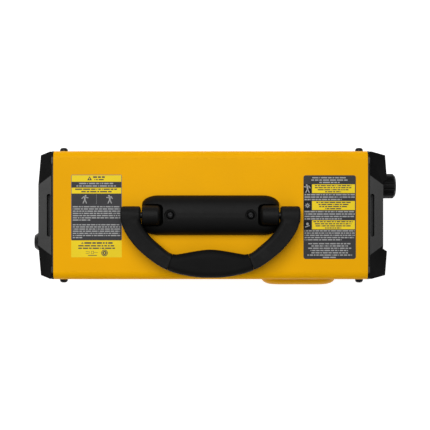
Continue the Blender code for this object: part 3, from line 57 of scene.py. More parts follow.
def finish(name, colour, roughness, metallic=0.0, cloud=0.08, cloud_size=0.030, grain=0.00003,
           grain_size=0.0008, patchy=0.08, edge_highlight=0.0, specular=0.5, coat=0.0):
    """Cloudy colour, a fine grain, uneven gloss and, where asked, paler sharp edges: a painted edge
    highlight.
    """
    made = bpy.data.materials.new(name)
    made.use_nodes = True
    nodes, links = made.node_tree.nodes, made.node_tree.links
    shader = nodes["Principled BSDF"]
    shader.inputs["Metallic"].default_value = metallic
    shader.inputs["Specular IOR Level"].default_value = specular
    shader.inputs["Coat Weight"].default_value = coat
    place = nodes.new("ShaderNodeTexCoord")

    def noise(size, detail):
        made_noise = nodes.new("ShaderNodeTexNoise")
        made_noise.inputs["Scale"].default_value = 1 / size
        made_noise.inputs["Detail"].default_value = detail
        links.new(place.outputs["Object"], made_noise.inputs["Vector"])
        return made_noise.outputs["Fac"]

    shades = nodes.new("ShaderNodeValToRGB")
    low, high = shades.color_ramp.elements
    low.position, high.position = 0.3, 0.7
    low.color = [*(c * (1 - cloud) for c in colour), 1]
    high.color = [*(min(1, c * (1 + cloud)) for c in colour), 1]
    links.new(noise(cloud_size, 4), shades.inputs["Fac"])
    surface = shades.outputs["Color"]
    # Pointiness lightens the sharp edges: a painted highlight along them, not wear.
    if edge_highlight:
        edges = nodes.new("ShaderNodeMapRange")
        edges.inputs["From Min"].default_value = 0.53
        edges.inputs["From Max"].default_value = 0.62
        edges.inputs["To Max"].default_value = edge_highlight
        links.new(nodes.new("ShaderNodeNewGeometry").outputs["Pointiness"], edges.inputs["Value"])
        edge_highlight_mix = nodes.new("ShaderNodeMix")
        edge_highlight_mix.data_type = "RGBA"
        edge_highlight_mix.inputs["B"].default_value = [*(min(1, c * 1.5 + 0.02) for c in colour), 1]
        links.new(edges.outputs["Result"], edge_highlight_mix.inputs["Factor"])
        links.new(surface, edge_highlight_mix.inputs["A"])
        surface = edge_highlight_mix.outputs["Result"]
    links.new(surface, shader.inputs["Base Color"])
    gloss = nodes.new("ShaderNodeMapRange")
    gloss.inputs["To Min"].default_value = max(0.02, roughness - patchy)
    gloss.inputs["To Max"].default_value = min(1, roughness + patchy)
    links.new(noise(cloud_size / 4, 6), gloss.inputs["Value"])
    links.new(gloss.outputs["Result"], shader.inputs["Roughness"])
    bump = nodes.new("ShaderNodeBump")
    bump.inputs["Distance"].default_value = grain
    bump.inputs["Strength"].default_value = 1
    links.new(noise(grain_size, 2), bump.inputs["Height"])
    links.new(bump.outputs["Normal"], shader.inputs["Normal"])
    return made


zinc = finish("zinc_plate", tint(172, 172, 168), 0.38, metallic=0.9, cloud=0.18, cloud_size=0.012,
              grain=0.00002, grain_size=0.0012, patchy=0.15)
brass = finish("turned_brass", (0.72, 0.50, 0.18), 0.28, metallic=1, cloud=0.10, grain=0.00001,
               grain_size=0.0004, edge_highlight=0.4)
copper = finish("bar_copper", (0.80, 0.38, 0.22), 0.34, metallic=1, cloud=0.15, patchy=0.12)
aluminium = finish("extruded_aluminium", (0.60, 0.61, 0.62), 0.40, metallic=1, cloud=0.08,
                   grain_size=0.0005, patchy=0.12)
board = finish("lacquered_board", (0.02, 0.12, 0.04), 0.42, cloud=0.2, cloud_size=0.006, coat=0.4)
ferrite = finish("sintered_ferrite", (0.03, 0.03, 0.032), 0.62, cloud=0.2, grain=0.00008)
module_case = finish("moulded_module", (0.03, 0.03, 0.032), 0.5, grain=0.00004)
enamel = finish("enamelled_wire", (0.45, 0.16, 0.05), 0.32, cloud=0.25, cloud_size=0.004, coat=0.5)
black_steel = finish("blackened_steel", tint(24, 24, 25), 0.36, metallic=0.7, cloud=0.2, edge_highlight=0.7,
                     grain=0.00002, grain_size=0.0006, patchy=0.14)
fan_plastic = finish("glass_filled_plastic", tint(30, 30, 31), 0.5, cloud=0.12, grain=0.00005)
jacket = finish("lead_jacket", (0.02, 0.05, 0.30), 0.45, cloud=0.1, grain=0.00004, grain_size=0.0015)
stock = {
    "zinc_steel": zinc, "brass": brass, "copper": copper, "aluminium": aluminium,
    "circuit_board": board, "ferrite": ferrite, "enamelled_wire": enamel,
    "black_screw": black_steel, "fan_plastic": fan_plastic, "lead_jacket": jacket,
}
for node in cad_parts.values():
    drawn = node.material_slots[0].material.name.split(".")[0]
    node.material_slots[0].material = stock.get(drawn, module_case)

# ---------------------------------------------------------------- rubber feet
# Four moulded rubber pads with a waist, pushed up through holes in the tray. One pad is drawn
# about the middle and the four are copies of it.

cover_low, cover_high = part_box("top_cover")
tray_low, tray_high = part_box("base_tray")
middle = Vector(((cover_low.x + cover_high.x) / 2, (tray_low.y + tray_high.y) / 2, 0))
half_length = cover_high.x - middle.x
half_width = cover_high.y - middle.y
top = cover_high.z
floor_gap = tray_low.z
gap = 0.0003


def only(*pieces):
    """Leaves just these pieces selected, the last of them active."""
    bpy.ops.object.select_all(action="DESELECT")
    for piece in pieces:
        piece.select_set(True)
        bpy.context.view_layer.objects.active = piece


def edit(piece):
    """Opens a piece's mesh for editing."""
    only(piece)
    bpy.ops.object.mode_set(mode="EDIT")


def shut():
    """Closes the mesh being edited."""
    bpy.ops.object.mode_set(mode="OBJECT")


def bake(piece, move=None):
    """Works a piece's place, turn and size into its mesh, after moving it if a move is given."""
    only(piece)
    if move is not None:
        piece.matrix_world = move @ piece.matrix_world
    bpy.ops.object.transform_apply(location=True, rotation=True, scale=True)
    return piece


def merge(distance):
    """In edit mode, merges the points that lie this close together."""
    bpy.ops.mesh.select_all(action="SELECT")
    bpy.ops.mesh.remove_doubles(threshold=distance)


def outward():
    """In edit mode, turns every face to look outwards."""
    bpy.ops.mesh.select_all(action="SELECT")
    bpy.ops.mesh.normals_make_consistent(inside=False)


def pick(kind, test):
    """In edit mode, selects the vertices, edges or faces that pass a test and nothing else."""
    bpy.ops.mesh.select_mode(type=kind)
    bpy.ops.mesh.select_all(action="DESELECT")
    data = bpy.context.object.data
    mesh = bmesh.from_edit_mesh(data)
    for element in {"VERT": mesh.verts, "EDGE": mesh.edges, "FACE": mesh.faces}[kind]:
        if test(element):
            element.select_set(True)
    mesh.select_flush_mode()
    bmesh.update_edit_mesh(data)


def turned(name, profile, axis, at, steps=64, base=0.0, way=1):
    """Draws half a section as (radius, distance from the base, one way or the other, along the
    axis) point by point and spins it round."""
    order = {"X": (0, 1, 2), "Y": (1, 0, 2), "Z": (2, 0, 1)}[axis]

    def point(radius, along):
        place = [0, 0, 0]
        for index, value in zip(order, (base + way * along, at[0] + radius, at[1])):
            place[index] = value
        return Vector(place)

    only()
    bpy.ops.mesh.primitive_plane_add(size=0.001)
    piece = bpy.context.object
    piece.name = name
    edit(piece)
    bpy.ops.mesh.merge(type="CENTER")
    bpy.ops.mesh.select_mode(type="VERT")
    bpy.ops.mesh.select_all(action="SELECT")
    places = [point(*p) for p in profile]
    bpy.ops.transform.translate(value=places[0])
    for near, far in zip(places, places[1:]):
        bpy.ops.mesh.extrude_region_move(TRANSFORM_OT_translate={"value": far - near})
    bpy.ops.mesh.select_all(action="SELECT")
    spindle = [0, 0, 0]
    spindle[order[0]] = 1
    bpy.ops.mesh.spin(steps=steps, angle=2 * math.pi, center=point(0, 0), axis=spindle)
    merge(0.000002)
    outward()
    shut()
    return piece


def soften(piece, width, steps=2, angle=30):
    """Breaks the sharp edges with a small round, and shades flats flat and rounds round."""
    edit(piece)
    merge(0.00002)
    bpy.ops.mesh.delete_loose()
    shut()
    if width:
        edge = piece.modifiers.new("edge", "BEVEL")
        edge.width, edge.segments = width, steps
        edge.limit_method, edge.angle_limit = "ANGLE", math.radians(angle)
        bpy.ops.object.modifier_apply(modifier=edge.name)
    bpy.ops.object.shade_smooth_by_angle(angle=math.radians(angle))
    even = piece.modifiers.new("even", "WEIGHTED_NORMAL")
    even.keep_sharp = True
    bpy.ops.object.modifier_apply(modifier=even.name)
    return piece


def again(piece, name, move):
    """A copy with its own mesh, moved by a matrix."""
    only(piece)
    bpy.ops.object.duplicate(linked=False)
    copy = bpy.context.object
    copy.name = name
    return bake(copy, move)


def paint(piece, material):
    """Gives a piece one finish all over."""
    piece.data.materials.clear()
    piece.data.materials.append(material)
    return piece


def fit(piece, material, slot, body, *nodes):
    """Moves a piece drawn about the case's middle to its place and fixes it to its body."""
    bake(piece, Matrix.Translation(middle))
    if material is not None:
        paint(piece, material)
    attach(piece, body)
    if nodes:
        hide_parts(*nodes)
    return piece


foot_radius = 0.0125
foot_x = half_length - 0.0352
foot_y = half_width - 0.024
rubber = finish("moulded_rubber", tint(26, 26, 26), 0.78, cloud=0.15, cloud_size=0.008, grain=0.00008,
                grain_size=0.0009, edge_highlight=0.5)
foot = turned("foot_pad", [
    (0, 0.0012), (0.0065, 0.0012), (0.0070, 0), (0.0105, 0), (0.0115, 0.0008), (0.0119, 0.0040),
    (0.0107, 0.0048), (0.0107, 0.0062), (0.0122, 0.0070), (foot_radius, 0.0092),
    (foot_radius, floor_gap - gap), (0.0045, floor_gap - gap), (0.0045, tray_low.z + 0.0018),
    (0.0057, tray_low.z + 0.0018), (0.0027, tray_low.z + 0.0058), (0, tray_low.z + 0.0058),
], "Z", (0, 0), 48)
soften(foot, 0.00025)
corners = [(x, y, 0) for x in (foot_x, -foot_x) for y in (foot_y, -foot_y)]
for number, corner in enumerate(corners, 1):
    pad = again(foot, f"rubber_foot_{number}", Matrix.Translation(corner))
    fit(pad, rubber, "black_rubber", "case", f"foot_{number}")
bpy.data.objects.remove(foot)

# ---------------------------------------------------------------- end bezels
# Front and rear end frames, moulded in one black glass-filled nylon: four faceted bumper
# corners joined by satin flat islands, a strap bar between two slots, a ledge for the end
# panel and a lip that slides inside the cover. The tilted facets get a darker, duller copy of
# the nylon: painted shade on the one moulding.


def block(name, low, high):
    """A block between two corners."""
    only()
    bpy.ops.mesh.primitive_cube_add(size=1, location=[(a + b) / 2 for a, b in zip(low, high)],
                                    scale=[b - a for a, b in zip(low, high)])
    piece = bpy.context.object
    piece.name = name
    return bake(piece)


def runs(edge, axis):
    """Whether an edge runs along this axis, 0, 1 or 2."""
    return abs((edge.verts[0].co - edge.verts[1].co).normalized()[axis]) > 0.999


def rounded_block(name, low, high, axis, radius, steps=8):
    """A block whose four edges along an axis are rounded."""
    piece = block(name, low, high)
    edit(piece)
    pick("EDGE", lambda e: runs(e, axis))
    bpy.ops.mesh.bevel(offset=radius, segments=steps)
    shut()
    return piece


def carve(piece, tool, operation="DIFFERENCE"):
    """Cuts a tool out of a piece and throws the tool away."""
    only(piece)
    step = piece.modifiers.new("carve", "BOOLEAN")
    step.operation, step.solver, step.object = operation, "MANIFOLD", tool
    bpy.ops.object.modifier_apply(modifier=step.name)
    bpy.data.objects.remove(tool)
    return piece


def weld(piece, tool):
    """Makes a tool part of a piece and throws the tool away."""
    return carve(piece, tool, "UNION")


def reach(end, near, far):
    """The places along the case of two depths outwards from the cover's edge at one end."""
    return sorted(end * (half_length + depth) for depth in (near, far))


def end_block(name, end, near, far, low, high, radius=0.0, steps=6):
    """A block at the front, 1, or the rear, -1, from its corners as (across, height)."""
    low_x, high_x = reach(end, near, far)
    corners = (low_x, *low), (high_x, *high)
    return rounded_block(name, *corners, 0, radius, steps) if radius else block(name, *corners)


bend = 0.010
sheet = 0.0012
taper_start, taper = 0.007, 0.0045
rim = 0.0025
island_root, island_tip = 0.0495, 0.0375
facet_drop = 0.021
panel_half, panel_low, panel_high = 0.066, 0.030, 0.258
lip_depth, lip_wall = 0.020, 0.0045
slot_half, slot_wide, slot_place, bar_height = 0.0265, 0.0048, 0.0055, 0.009
notch_across, notch_upright, notch_flare = 0.0415, 0.062, 0.004
groove_wide, groove_deep, groove_half, groove_low, groove_high = 0.0021, 0.0040, 0.064, 0.040, 0.252
ledge_wide, ledge_back, hollow_back, clear_out = 0.004, -0.017, -0.030, 0.05
nylon = finish("black_nylon", tint(9, 9, 8), 0.44, cloud=0.10, cloud_size=0.040, grain=0.00005,
               grain_size=0.0007, patchy=0.06, edge_highlight=0.25, specular=0.45)


def bezel(name, end, depth, island, seat):
    """One end frame; depths run outwards from the cover's edge, and end is 1 front, -1 rear."""

    def across(part, near, far, half_y, low_z, high_z, radius, steps=8):
        return end_block(part, end, near, far, (-half_y, low_z), (half_y, high_z), radius, steps)

    body = across(name, rim - 0.0005, depth, half_width, floor_gap, top, bend, 10)
    edit(body)
    cuts = []
    for side in (1, -1):
        cuts.append((Vector((taper_start, side * half_width, 0)),
                     Vector((taper, side * (depth - taper_start), 0)).normalized()))
        for up, edge_z in ((1, top), (-1, floor_gap)):
            root = Vector((rim, side * island_root, edge_z))
            tip = Vector((island, side * island_tip, edge_z))
            corner = Vector((depth, side * (half_width - taper), edge_z - up * facet_drop))
            normal = (tip - root).cross(corner - root).normalized()
            cuts.append((root, normal if normal.z * up > 0 else -normal))
    for place, normal in cuts:
        bpy.ops.mesh.select_all(action="SELECT")
        bpy.ops.mesh.bisect(plane_co=(end * (half_length + place.x), place.y, place.z),
                            plane_no=(end * normal.x, normal.y, normal.z),
                            use_fill=True, clear_outer=True, threshold=0.000001)
    shut()
    weld(body, across("rim", gap, rim, half_width, floor_gap, top, bend, 10))
    wall = sheet + gap
    weld(body, across("lip", -lip_depth, rim / 2, half_width - wall, floor_gap + 0.0018, top - wall,
                      bend - wall, 10))
    carve(body, across("opening", seat, clear_out, panel_half, panel_low, panel_high, 0.008))
    carve(body, across("ledge", ledge_back, seat + 0.001, panel_half - ledge_wide,
                       panel_low + ledge_wide, panel_high - ledge_wide, 0.004))
    wall += lip_wall
    carve(body, across("hollow", hollow_back, -0.001, half_width - wall, floor_gap + wall,
                       top - wall, 0.004))
    low_x, high_x = reach(end, slot_place - slot_wide / 2, slot_place + slot_wide / 2)
    slot_floor = top - bar_height - slot_wide
    carve(body, rounded_block("slot", (low_x, -slot_half, slot_floor), (high_x, slot_half, top + 0.01),
                              2, slot_wide / 2 - 0.0001, 6))
    carve(body, across("way_out", slot_place - slot_wide / 2, clear_out, slot_half, slot_floor,
                       slot_floor + slot_wide, 0.0020, 5))
    if depth > island:
        centre = (top + floor_gap) / 2
        for low, high, spread in (
            ((-notch_across, -0.01), (notch_across, 0.3), (1, 1 + notch_flare / notch_across, 1)),
            ((-0.1, centre - notch_upright), (0.1, centre + notch_upright),
             (1, 1, 1 + notch_flare / notch_upright)),
        ):
            notch = end_block("notch", end, island, depth + 0.001, low, high)
            edit(notch)
            pick("FACE", lambda f: f.normal.x * end > 0.9)
            bpy.ops.transform.resize(value=spread, center_override=(0, 0, centre))
            shut()
            carve(body, notch)
    for low, high in (
        ((-groove_half, top - groove_deep), (groove_half, top + 0.001)),
        ((-groove_half, floor_gap - 0.001), (groove_half, floor_gap + groove_deep)),
        ((half_width - groove_deep, groove_low), (half_width + 0.001, groove_high)),
        ((-half_width - 0.001, groove_low), (groove_deep - half_width, groove_high)),
    ):
        carve(body, end_block("shadow_line", end, -gap, groove_wide + gap, low, high))
    return body


# A darker, less glossy copy of the black nylon for the tilted bumper facets: painted shade.
painted_shade_nylon = finish("painted_shade_nylon", tint(5, 5, 5), 0.40, specular=0.16, cloud=0.10, cloud_size=0.04,
                      grain=0.00003, grain_size=0.0007, patchy=0.06, edge_highlight=0.2)
for side_name, end, corner_depth, island_depth, seat_depth in (
    ("front", 1, 0.0245, 0.0190, 0.0120), ("rear", -1, 0.0185, 0.0185, 0.0060),
):
    frame_piece = bezel(f"{side_name}_end_frame", end, corner_depth, island_depth, seat_depth)
    soften(frame_piece, 0.0006, 3, 20)
    fit(frame_piece, painted_shade_nylon, "black_nylon", "case", f"{side_name}_bezel")
    # Faces looking straight up, down or sideways get the plain nylon; the rest keep the darker copy as
    # painted shade.
    frame_piece.data.materials.append(nylon)
    edit(frame_piece)
    pick("FACE", lambda f: abs(f.normal.z) > 0.98 or abs(f.normal.y) > 0.999)
    frame_piece.active_material_index = 1
    bpy.ops.object.material_slot_assign()
    shut()

# ---------------------------------------------------------------- front panel
# A flat moulded panel that drops into the front end frame, with a printed overlay round the
# display, the current dial and the two keys. Four small screws hold it to the frame's ledge.


def join(*pieces):
    """Joins pieces into the last one, each part keeping its own finish."""
    only(*pieces)
    bpy.ops.object.join()
    return bpy.context.object


def peg(name, radius, start, end, at, steps):
    """A plain round peg along the case, for a hole, a groove or a neck."""
    return turned(name, [(0, start), (radius, start), (radius, end), (0, end)], "X", at, steps)


def pan_screw(radius, height, shank, length, steps=40):
    """A screw standing on its head's seat at the origin, head up, with a cross recess."""
    screw = turned("screw", [
        (0, -length), (shank, -length), (shank, 0), (radius, 0), (radius, height * 0.34),
        (radius * 0.94, height * 0.58), (radius * 0.80, height * 0.80), (radius * 0.58, height * 0.95),
        (radius * 0.34, height), (0, height),
    ], "Z", (0, 0), steps)
    long_half, wide_half = radius * 0.95 / 2, radius * 0.22 / 2
    for x, y in ((wide_half, long_half), (long_half, wide_half)):
        carve(screw, block("recess", (-x, -y, height * 0.5), (x, y, height * 1.2)))
    return soften(screw, radius * 0.04, 2, 25)


def drive(screw, name, place, lean, spin, *nodes):
    """Drives a copy of a screw in at a place: lean tips its head over, spin turns its recess."""
    copy = again(screw, name, Matrix.Translation(place) @ lean @ Matrix.Rotation(spin, 4, "Z"))
    fit(copy, black_steel, "black_screw", "case", *nodes)


face_front = 0.0150
front_face = half_length + face_front
panel_round = 0.0077
dial_y, dial_z = 0.0373, 0.230
display_y = -0.020
key_z, lamp_z = 0.190, 0.168
keys = {"mode_button": -0.038, "arc_force_button": -0.002}
lamps = (-0.042, -0.020, 0.002)
socket_y, socket_z = 0.034, 0.066
panel_plastic = finish("panel_plastic", tint(34, 34, 35), 0.48, cloud=0.08, grain=0.00004, edge_highlight=0.2)
panel = end_block("front_fascia", 1, 0.0123, face_front, (-panel_half + gap, panel_low + gap),
                  (panel_half - gap, panel_high - gap), panel_round)
hole_near, hole_far = 0.010, 0.017
cuts = [end_block("window", 1, hole_near, hole_far, (display_y - 0.031, dial_z - 0.014),
                  (display_y + 0.031, dial_z + 0.014), 0.003)]
holes = [(0.0040, dial_y, dial_z)] + [(0.0053, y, key_z) for y in keys.values()]
holes += [(0.0025, y, lamp_z) for y in lamps] + [(0.0140, y, socket_z) for y in (socket_y, -socket_y)]
for radius, y, z in holes:
    cuts.append(peg("hole", radius, half_length + hole_near, half_length + hole_far, (y, z), 32))
carve(panel, join(*cuts))
soften(panel, 0.0003)
fit(panel, panel_plastic, "black_nylon", "case", "front_panel")

ink_white = finish("white_ink", tint(156, 156, 156), 0.55, cloud=0.06, grain=0.00001)
ink_dark = finish("dark_ink", tint(38, 38, 44), 0.55, cloud=0.06, grain=0.00001)
film_dark = finish("dark_film", tint(46, 46, 49), 0.5, specular=0.25, cloud=0.05, grain=0.00002,
                   grain_size=0.0012)
film_yellow = finish("yellow_film", tint(240, 210, 20), 0.5, specular=0.2, cloud=0.04, grain=0.00002,
                     grain_size=0.0012)
film_thick, ink_thick, film_gap, plate_thick = 0.00015, 0.00006, 0.00002, 0.0003


def film(name, low, high, level, material, corner=0.0, thick=film_thick):
    """A thin flat patch lying on a level, drawn flat with its width along X."""
    corners = (*low, level), (*high, level + thick)
    piece = rounded_block(name, *corners, 2, corner, 5) if corner else block(name, *corners)
    return paint(piece, material)


def frame_line(name, low, high, level, material, corner, width):
    """A thin printed outline with round corners."""
    outer = film(name, low, high, level, material, corner, ink_thick)
    inner = film("inside", [v + width for v in low], [v - width for v in high], level - 0.001, material,
                 corner - width, 0.003)
    return carve(outer, inner)


def hang(piece, end, depth):
    """Stands a flat drawing up on the front or rear face; its X runs to the viewer's right."""
    turn = Matrix(((0, 0, end, 0), (end, 0, 0, 0), (0, 1, 0, 0), (0, 0, 0, 1)))
    return bake(piece, Matrix.Translation((end * (half_length + depth), 0, 0)) @ turn)


def mark(text, size, at, level, material, thick=ink_thick):
    """A numeral or sign in thin ink, centred on a place."""
    only()
    bpy.ops.object.text_add(location=(at[0], at[1], level + thick / 2))
    letter = bpy.context.object
    letter.data.body = text
    letter.data.size = size
    letter.data.align_x, letter.data.align_y = "CENTER", "CENTER"
    letter.data.extrude = thick / 2
    bpy.ops.object.convert(target="MESH")
    edit(bake(letter))
    merge(0.000002)
    shut()
    return paint(letter, material)


def bar(length, width, at, angle, level, material, thick=ink_thick):
    """A short printed stroke about its own middle, turned by an angle."""
    piece = film("stroke", (-length / 2, -width / 2), (length / 2, width / 2), 0, material, 0, thick)
    return bake(piece, Matrix.Translation((*at, level)) @ Matrix.Rotation(angle, 4, "Z"))


def rod(name, sides, radius, length, at, lean=(0, 0, 0)):
    """A rod with this many sides about its own middle, upright unless it leans."""
    only()
    bpy.ops.mesh.primitive_cylinder_add(vertices=sides, radius=radius, depth=length, location=at,
                                        rotation=lean)
    piece = bpy.context.object
    piece.name = name
    return bake(piece)


def dot(radius, at, level, material, thick=ink_thick, sides=32):
    """A round printed spot."""
    piece = rod("dot", sides, radius, thick, (*at, level + thick / 2))
    edit(piece)
    pick("FACE", lambda f: f.normal.z > 0.9)
    bpy.ops.mesh.inset(thickness=thick / 2, depth=0)
    shut()
    return paint(piece, material)


overlay = film("overlay", (-0.0615, 0.156), (0.0615, 0.254), 0, film_dark, 0.006, plate_thick)
below, through = -0.001, 0.003
for piece in (
    film("window", (display_y - 0.0325, dial_z - 0.0155), (display_y + 0.0325, dial_z + 0.0155),
         below, film_dark, 0.004, through),
    dot(0.0165, (dial_y, dial_z), below, film_dark, through, 48),
    *(dot(0.0062, (y, key_z), below, film_dark, through) for y in keys.values()),
    *(dot(0.0030, (y, lamp_z), below, film_dark, through) for y in lamps),
):
    carve(overlay, piece)
prints = [overlay, frame_line("border", (-0.0600, 0.1575), (0.0600, 0.2525), plate_thick, film_yellow,
                              0.005, 0.0006)]
dial_start, dial_step, dial_ring, numeral_ring = 230, 28, 0.0183, 0.0207


def on_dial(step, ring):
    """A dial position's angle, and its place on a ring round the knob."""
    turn = math.radians(dial_start - dial_step * step)
    return turn, Vector((dial_y, dial_z)) + Vector((math.cos(turn), math.sin(turn))) * ring


for step in range(11):
    turn, place = on_dial(step, dial_ring)
    if abs(place.x) < 0.0585:
        prints.append(bar(0.0022, 0.0005, place, turn, plate_thick, ink_white))
for step in range(1, 10, 2):
    turn, place = on_dial(step, numeral_ring)
    if abs(place.x) < 0.0575 and place.y < 0.2515:
        prints.append(mark(str(step), 0.0036, place, plate_thick, ink_white))
key_ring = 0.0078
for y in keys.values():
    prints.append(frame_line("key_ring", (y - key_ring, key_z - key_ring), (y + key_ring, key_z + key_ring),
                             plate_thick, ink_white, key_ring - 0.0001, 0.0005))
for ticks, y in enumerate(lamps, 1):
    for tick in range(ticks):
        place = (y + (tick - (ticks - 1) / 2) * 0.0018, lamp_z - 0.0062)
        prints.append(bar(0.0030, 0.0007, place, math.pi / 2, plate_thick, ink_white))
for length, place, turn, ink in (
    (0.0055, (0.030, 0.190), 0.9, film_yellow), (0.0055, (0.034, 0.190), -0.9, film_yellow),
    (0.0055, (0.038, 0.190), 0.9, film_yellow), (0.0055, (0.042, 0.190), -0.9, film_yellow),
    (0.0260, (0.036, 0.180), 0, ink_white), (0.0180, (0.036, 0.176), 0, ink_white),
):
    prints.append(bar(length, 0.0008, place, turn, plate_thick, ink))
overlay = hang(join(*reversed(prints)), 1, face_front + film_gap)
overlay.name = "front_overlay"
fit(overlay, None, "black_nylon", "case")
for side, name, sign_text in ((1, "plus_sign", "+"), (-1, "minus_sign", "-")):
    letter = mark(sign_text, 0.014, (side * socket_y, socket_z + 0.030), 0, ink_white, 0.0004)
    hang(letter, 1, face_front + film_gap)
    letter.name = name
    fit(letter, None, "black_nylon", "case")

screw = pan_screw(0.0030, 0.0019, 0.0015, 0.0025, 32)
lean = Matrix.Rotation(math.pi / 2, 4, "Y")
for number, (y, z) in enumerate([(y, z) for z in (0.036, 0.135) for y in (-0.060, 0.060)], 1):
    drive(screw, f"fascia_screw_{number}", (front_face, y, z), lean, number)
bpy.data.objects.remove(screw)

# ---------------------------------------------------------------- display, keys and lamps
# A smoked acrylic lens showing three seven-bar numerals, two round moulded keys with dished
# caps and three small coloured lamp lenses, held behind the fascia and standing through it.

smoked = finish("smoked_acrylic", tint(14, 14, 16), 0.07, cloud=0.2, grain=0.000002, patchy=0.03, coat=0.6)
lens = end_block("display_window", 1, 0.0132, 0.0153, (display_y - 0.0307, dial_z - 0.0137),
                 (display_y + 0.0307, dial_z + 0.0137), 0.0027)
soften(lens, 0.0003)
fit(lens, smoked, "dark_lens", "case", "display_lens")
unlit = finish("unlit_bars", tint(72, 22, 18), 0.3, cloud=0.1, grain=0.00001)
bars = []
for column in (-1, 0, 1):
    centre = Vector((display_y + column * 0.0165, dial_z))
    for x, y, upright in (
        (0, 8, 0), (0, 0, 0), (0, -8, 0), (-4.6, 4, 1), (4.6, 4, 1), (-4.6, -4, 1), (4.6, -4, 1),
    ):
        place = centre + Vector((x + 0.08 * y, y)) / 1000
        bars.append(bar(0.0066, 0.0014, place, upright * math.radians(85), 0, unlit, 0.0001))
numerals = hang(join(*bars), 1, 0.01532)
numerals.name = "display_bars"
fit(numerals, None, "dark_lens", "case")
key_plastic = finish("key_plastic", tint(48, 48, 50), 0.42, cloud=0.1, grain=0.00004, edge_highlight=0.4)
near, tip = half_length + 0.0104, front_face + 0.0022
for (name, y), body in zip(keys.items(), ("mode_key", "arc_force_key")):
    key = turned(f"{name}_cap", [
        (0, near), (0.0062, near), (0.0062, near + 0.0012), (0.0050, near + 0.0012),
        (0.0050, tip - 0.0006), (0.0047, tip - 0.0001), (0.0042, tip), (0.0036, tip - 0.0002),
        (0.0018, tip - 0.0006), (0, tip - 0.0007),
    ], "X", (y, key_z), 48)
    soften(key, 0)
    fit(key, key_plastic, "fan_plastic", body, name)
for number, (y, colour) in enumerate(zip(lamps, ((40, 150, 60), (225, 140, 20), (190, 30, 25))), 1):
    lamp_lens = turned(f"lamp_lens_{number}", [
        (0, 0.0115), (0.0024, 0.0115), (0.0024, 0.0155), (0.0020, 0.0161), (0.0011, 0.0165), (0, 0.0166),
    ], "X", (y, lamp_z), 32, half_length)
    soften(lamp_lens, 0)
    glass = finish(f"lamp_glass_{number}", tint(*colour), 0.12, cloud=0.15, cloud_size=0.002, grain=0.000002,
                   patchy=0.05, coat=0.5)
    fit(lamp_lens, glass, "dark_lens", "case")

# ---------------------------------------------------------------- current knob
# A push-on phenolic knob with twelve finger flutes, a bevelled outer end and a white pointer
# line. It turns on the potentiometer's shaft.


def flutes(count, first, circle, radius, start, end, at, steps):
    """A ring of pegs to cut flutes with; first is how far round the first one stands, in pegs."""
    pegs = []
    for number in range(count):
        turn = 2 * math.pi * (number + first) / count
        centre = (at[0] + circle * math.cos(turn), at[1] + circle * math.sin(turn))
        pegs.append(peg("flute", radius, start, end, centre, steps))
    return join(*pegs)


knob_radius, knob_start, knob_end = 0.0160, front_face + 0.0012, half_length + 0.0410
knob = turned("current_knob", [
    (0.0033, knob_start + 0.012), (0.0033, knob_start), (knob_radius - 0.0010, knob_start),
    (knob_radius, knob_start + 0.0010), (knob_radius, knob_start + 0.0035),
    (knob_radius - 0.0002, knob_start + 0.0040), (knob_radius - 0.0002, knob_end - 0.0030),
    (knob_radius - 0.0028, knob_end - 0.0003), (knob_radius - 0.0038, knob_end),
    (knob_radius - 0.0050, knob_end - 0.0006), (0, knob_end - 0.0009),
], "X", (dial_y, dial_z), 96)
edit(knob)
pick("EDGE", lambda e: e.is_boundary)
bpy.ops.mesh.edge_face_add()
outward()
shut()
carve(knob, flutes(12, 0.5, knob_radius + 0.0010, 0.0020, knob_start + 0.0045, knob_end + 0.002,
                   (dial_y, dial_z), 20))
soften(knob, 0.0003, 2, 32)
phenolic = finish("knob_phenolic", tint(6, 6, 6), 0.40, specular=0.1, cloud=0.1, grain=0.00003, edge_highlight=0.4)
fit(knob, phenolic, "black_nylon", "knob", "control_knob")
pointer = end_block("knob_pointer", 1, 0.0401, 0.04101, (dial_y - 0.0006, dial_z + 0.0035),
                    (dial_y + 0.0006, dial_z + 0.0112))
soften(pointer, 0.00015)
fit(pointer, ink_white, "black_nylon", "knob")

# ---------------------------------------------------------------- output sockets
# Two twist-lock sockets for the welding cables: a fluted insulating collar through the fascia
# and a brass sleeve, keyed at the top, that the plug's pin turns in.

for name, side in (("positive", 1), ("negative", -1)):
    centre = (side * socket_y, socket_z)
    collar = turned(f"{name}_collar", [
        (0.0103, -0.014), (0.0137, -0.014), (0.0137, gap), (0.0185, gap), (0.0185, 0.0030),
        (0.0178, 0.0038), (0.0160, 0.0104), (0.0152, 0.0110), (0.0118, 0.0110), (0.0112, 0.0100),
        (0.0103, 0.0100), (0.0103, -0.014),
    ], "X", centre, 80, front_face)
    carve(collar, flutes(16, 0.5, 0.0176, 0.0012, front_face + 0.0045, front_face + 0.013, centre, 16))
    soften(collar, 0.0003, 2, 28)
    fit(collar, nylon, "black_nylon", "case", f"{name}_socket")
    sleeve = turned(f"{name}_sleeve", [
        (0, -0.011), (0.0066, -0.011), (0.0066, 0.0093), (0.0072, 0.0100), (0.0095, 0.0100),
        (0.0100, 0.0095), (0.0100, -0.014), (0, -0.014),
    ], "X", centre, 64, front_face)
    carve(sleeve, block("keyway", (front_face + 0.002, centre[0] - 0.0018, centre[1] + 0.004),
                        (front_face + 0.012, centre[0] + 0.0018, centre[1] + 0.0085)))
    soften(sleeve, 0.0002)
    fit(sleeve, brass, "brass", "case", f"{name}_contact")

# ---------------------------------------------------------------- rear panel and fan
# The rear panel has two columns of louvre slots in front of the fan, whose four screws go
# through it, two more screws at its top and a bright rating plate between them. The fan keeps
# its own moulded shape.

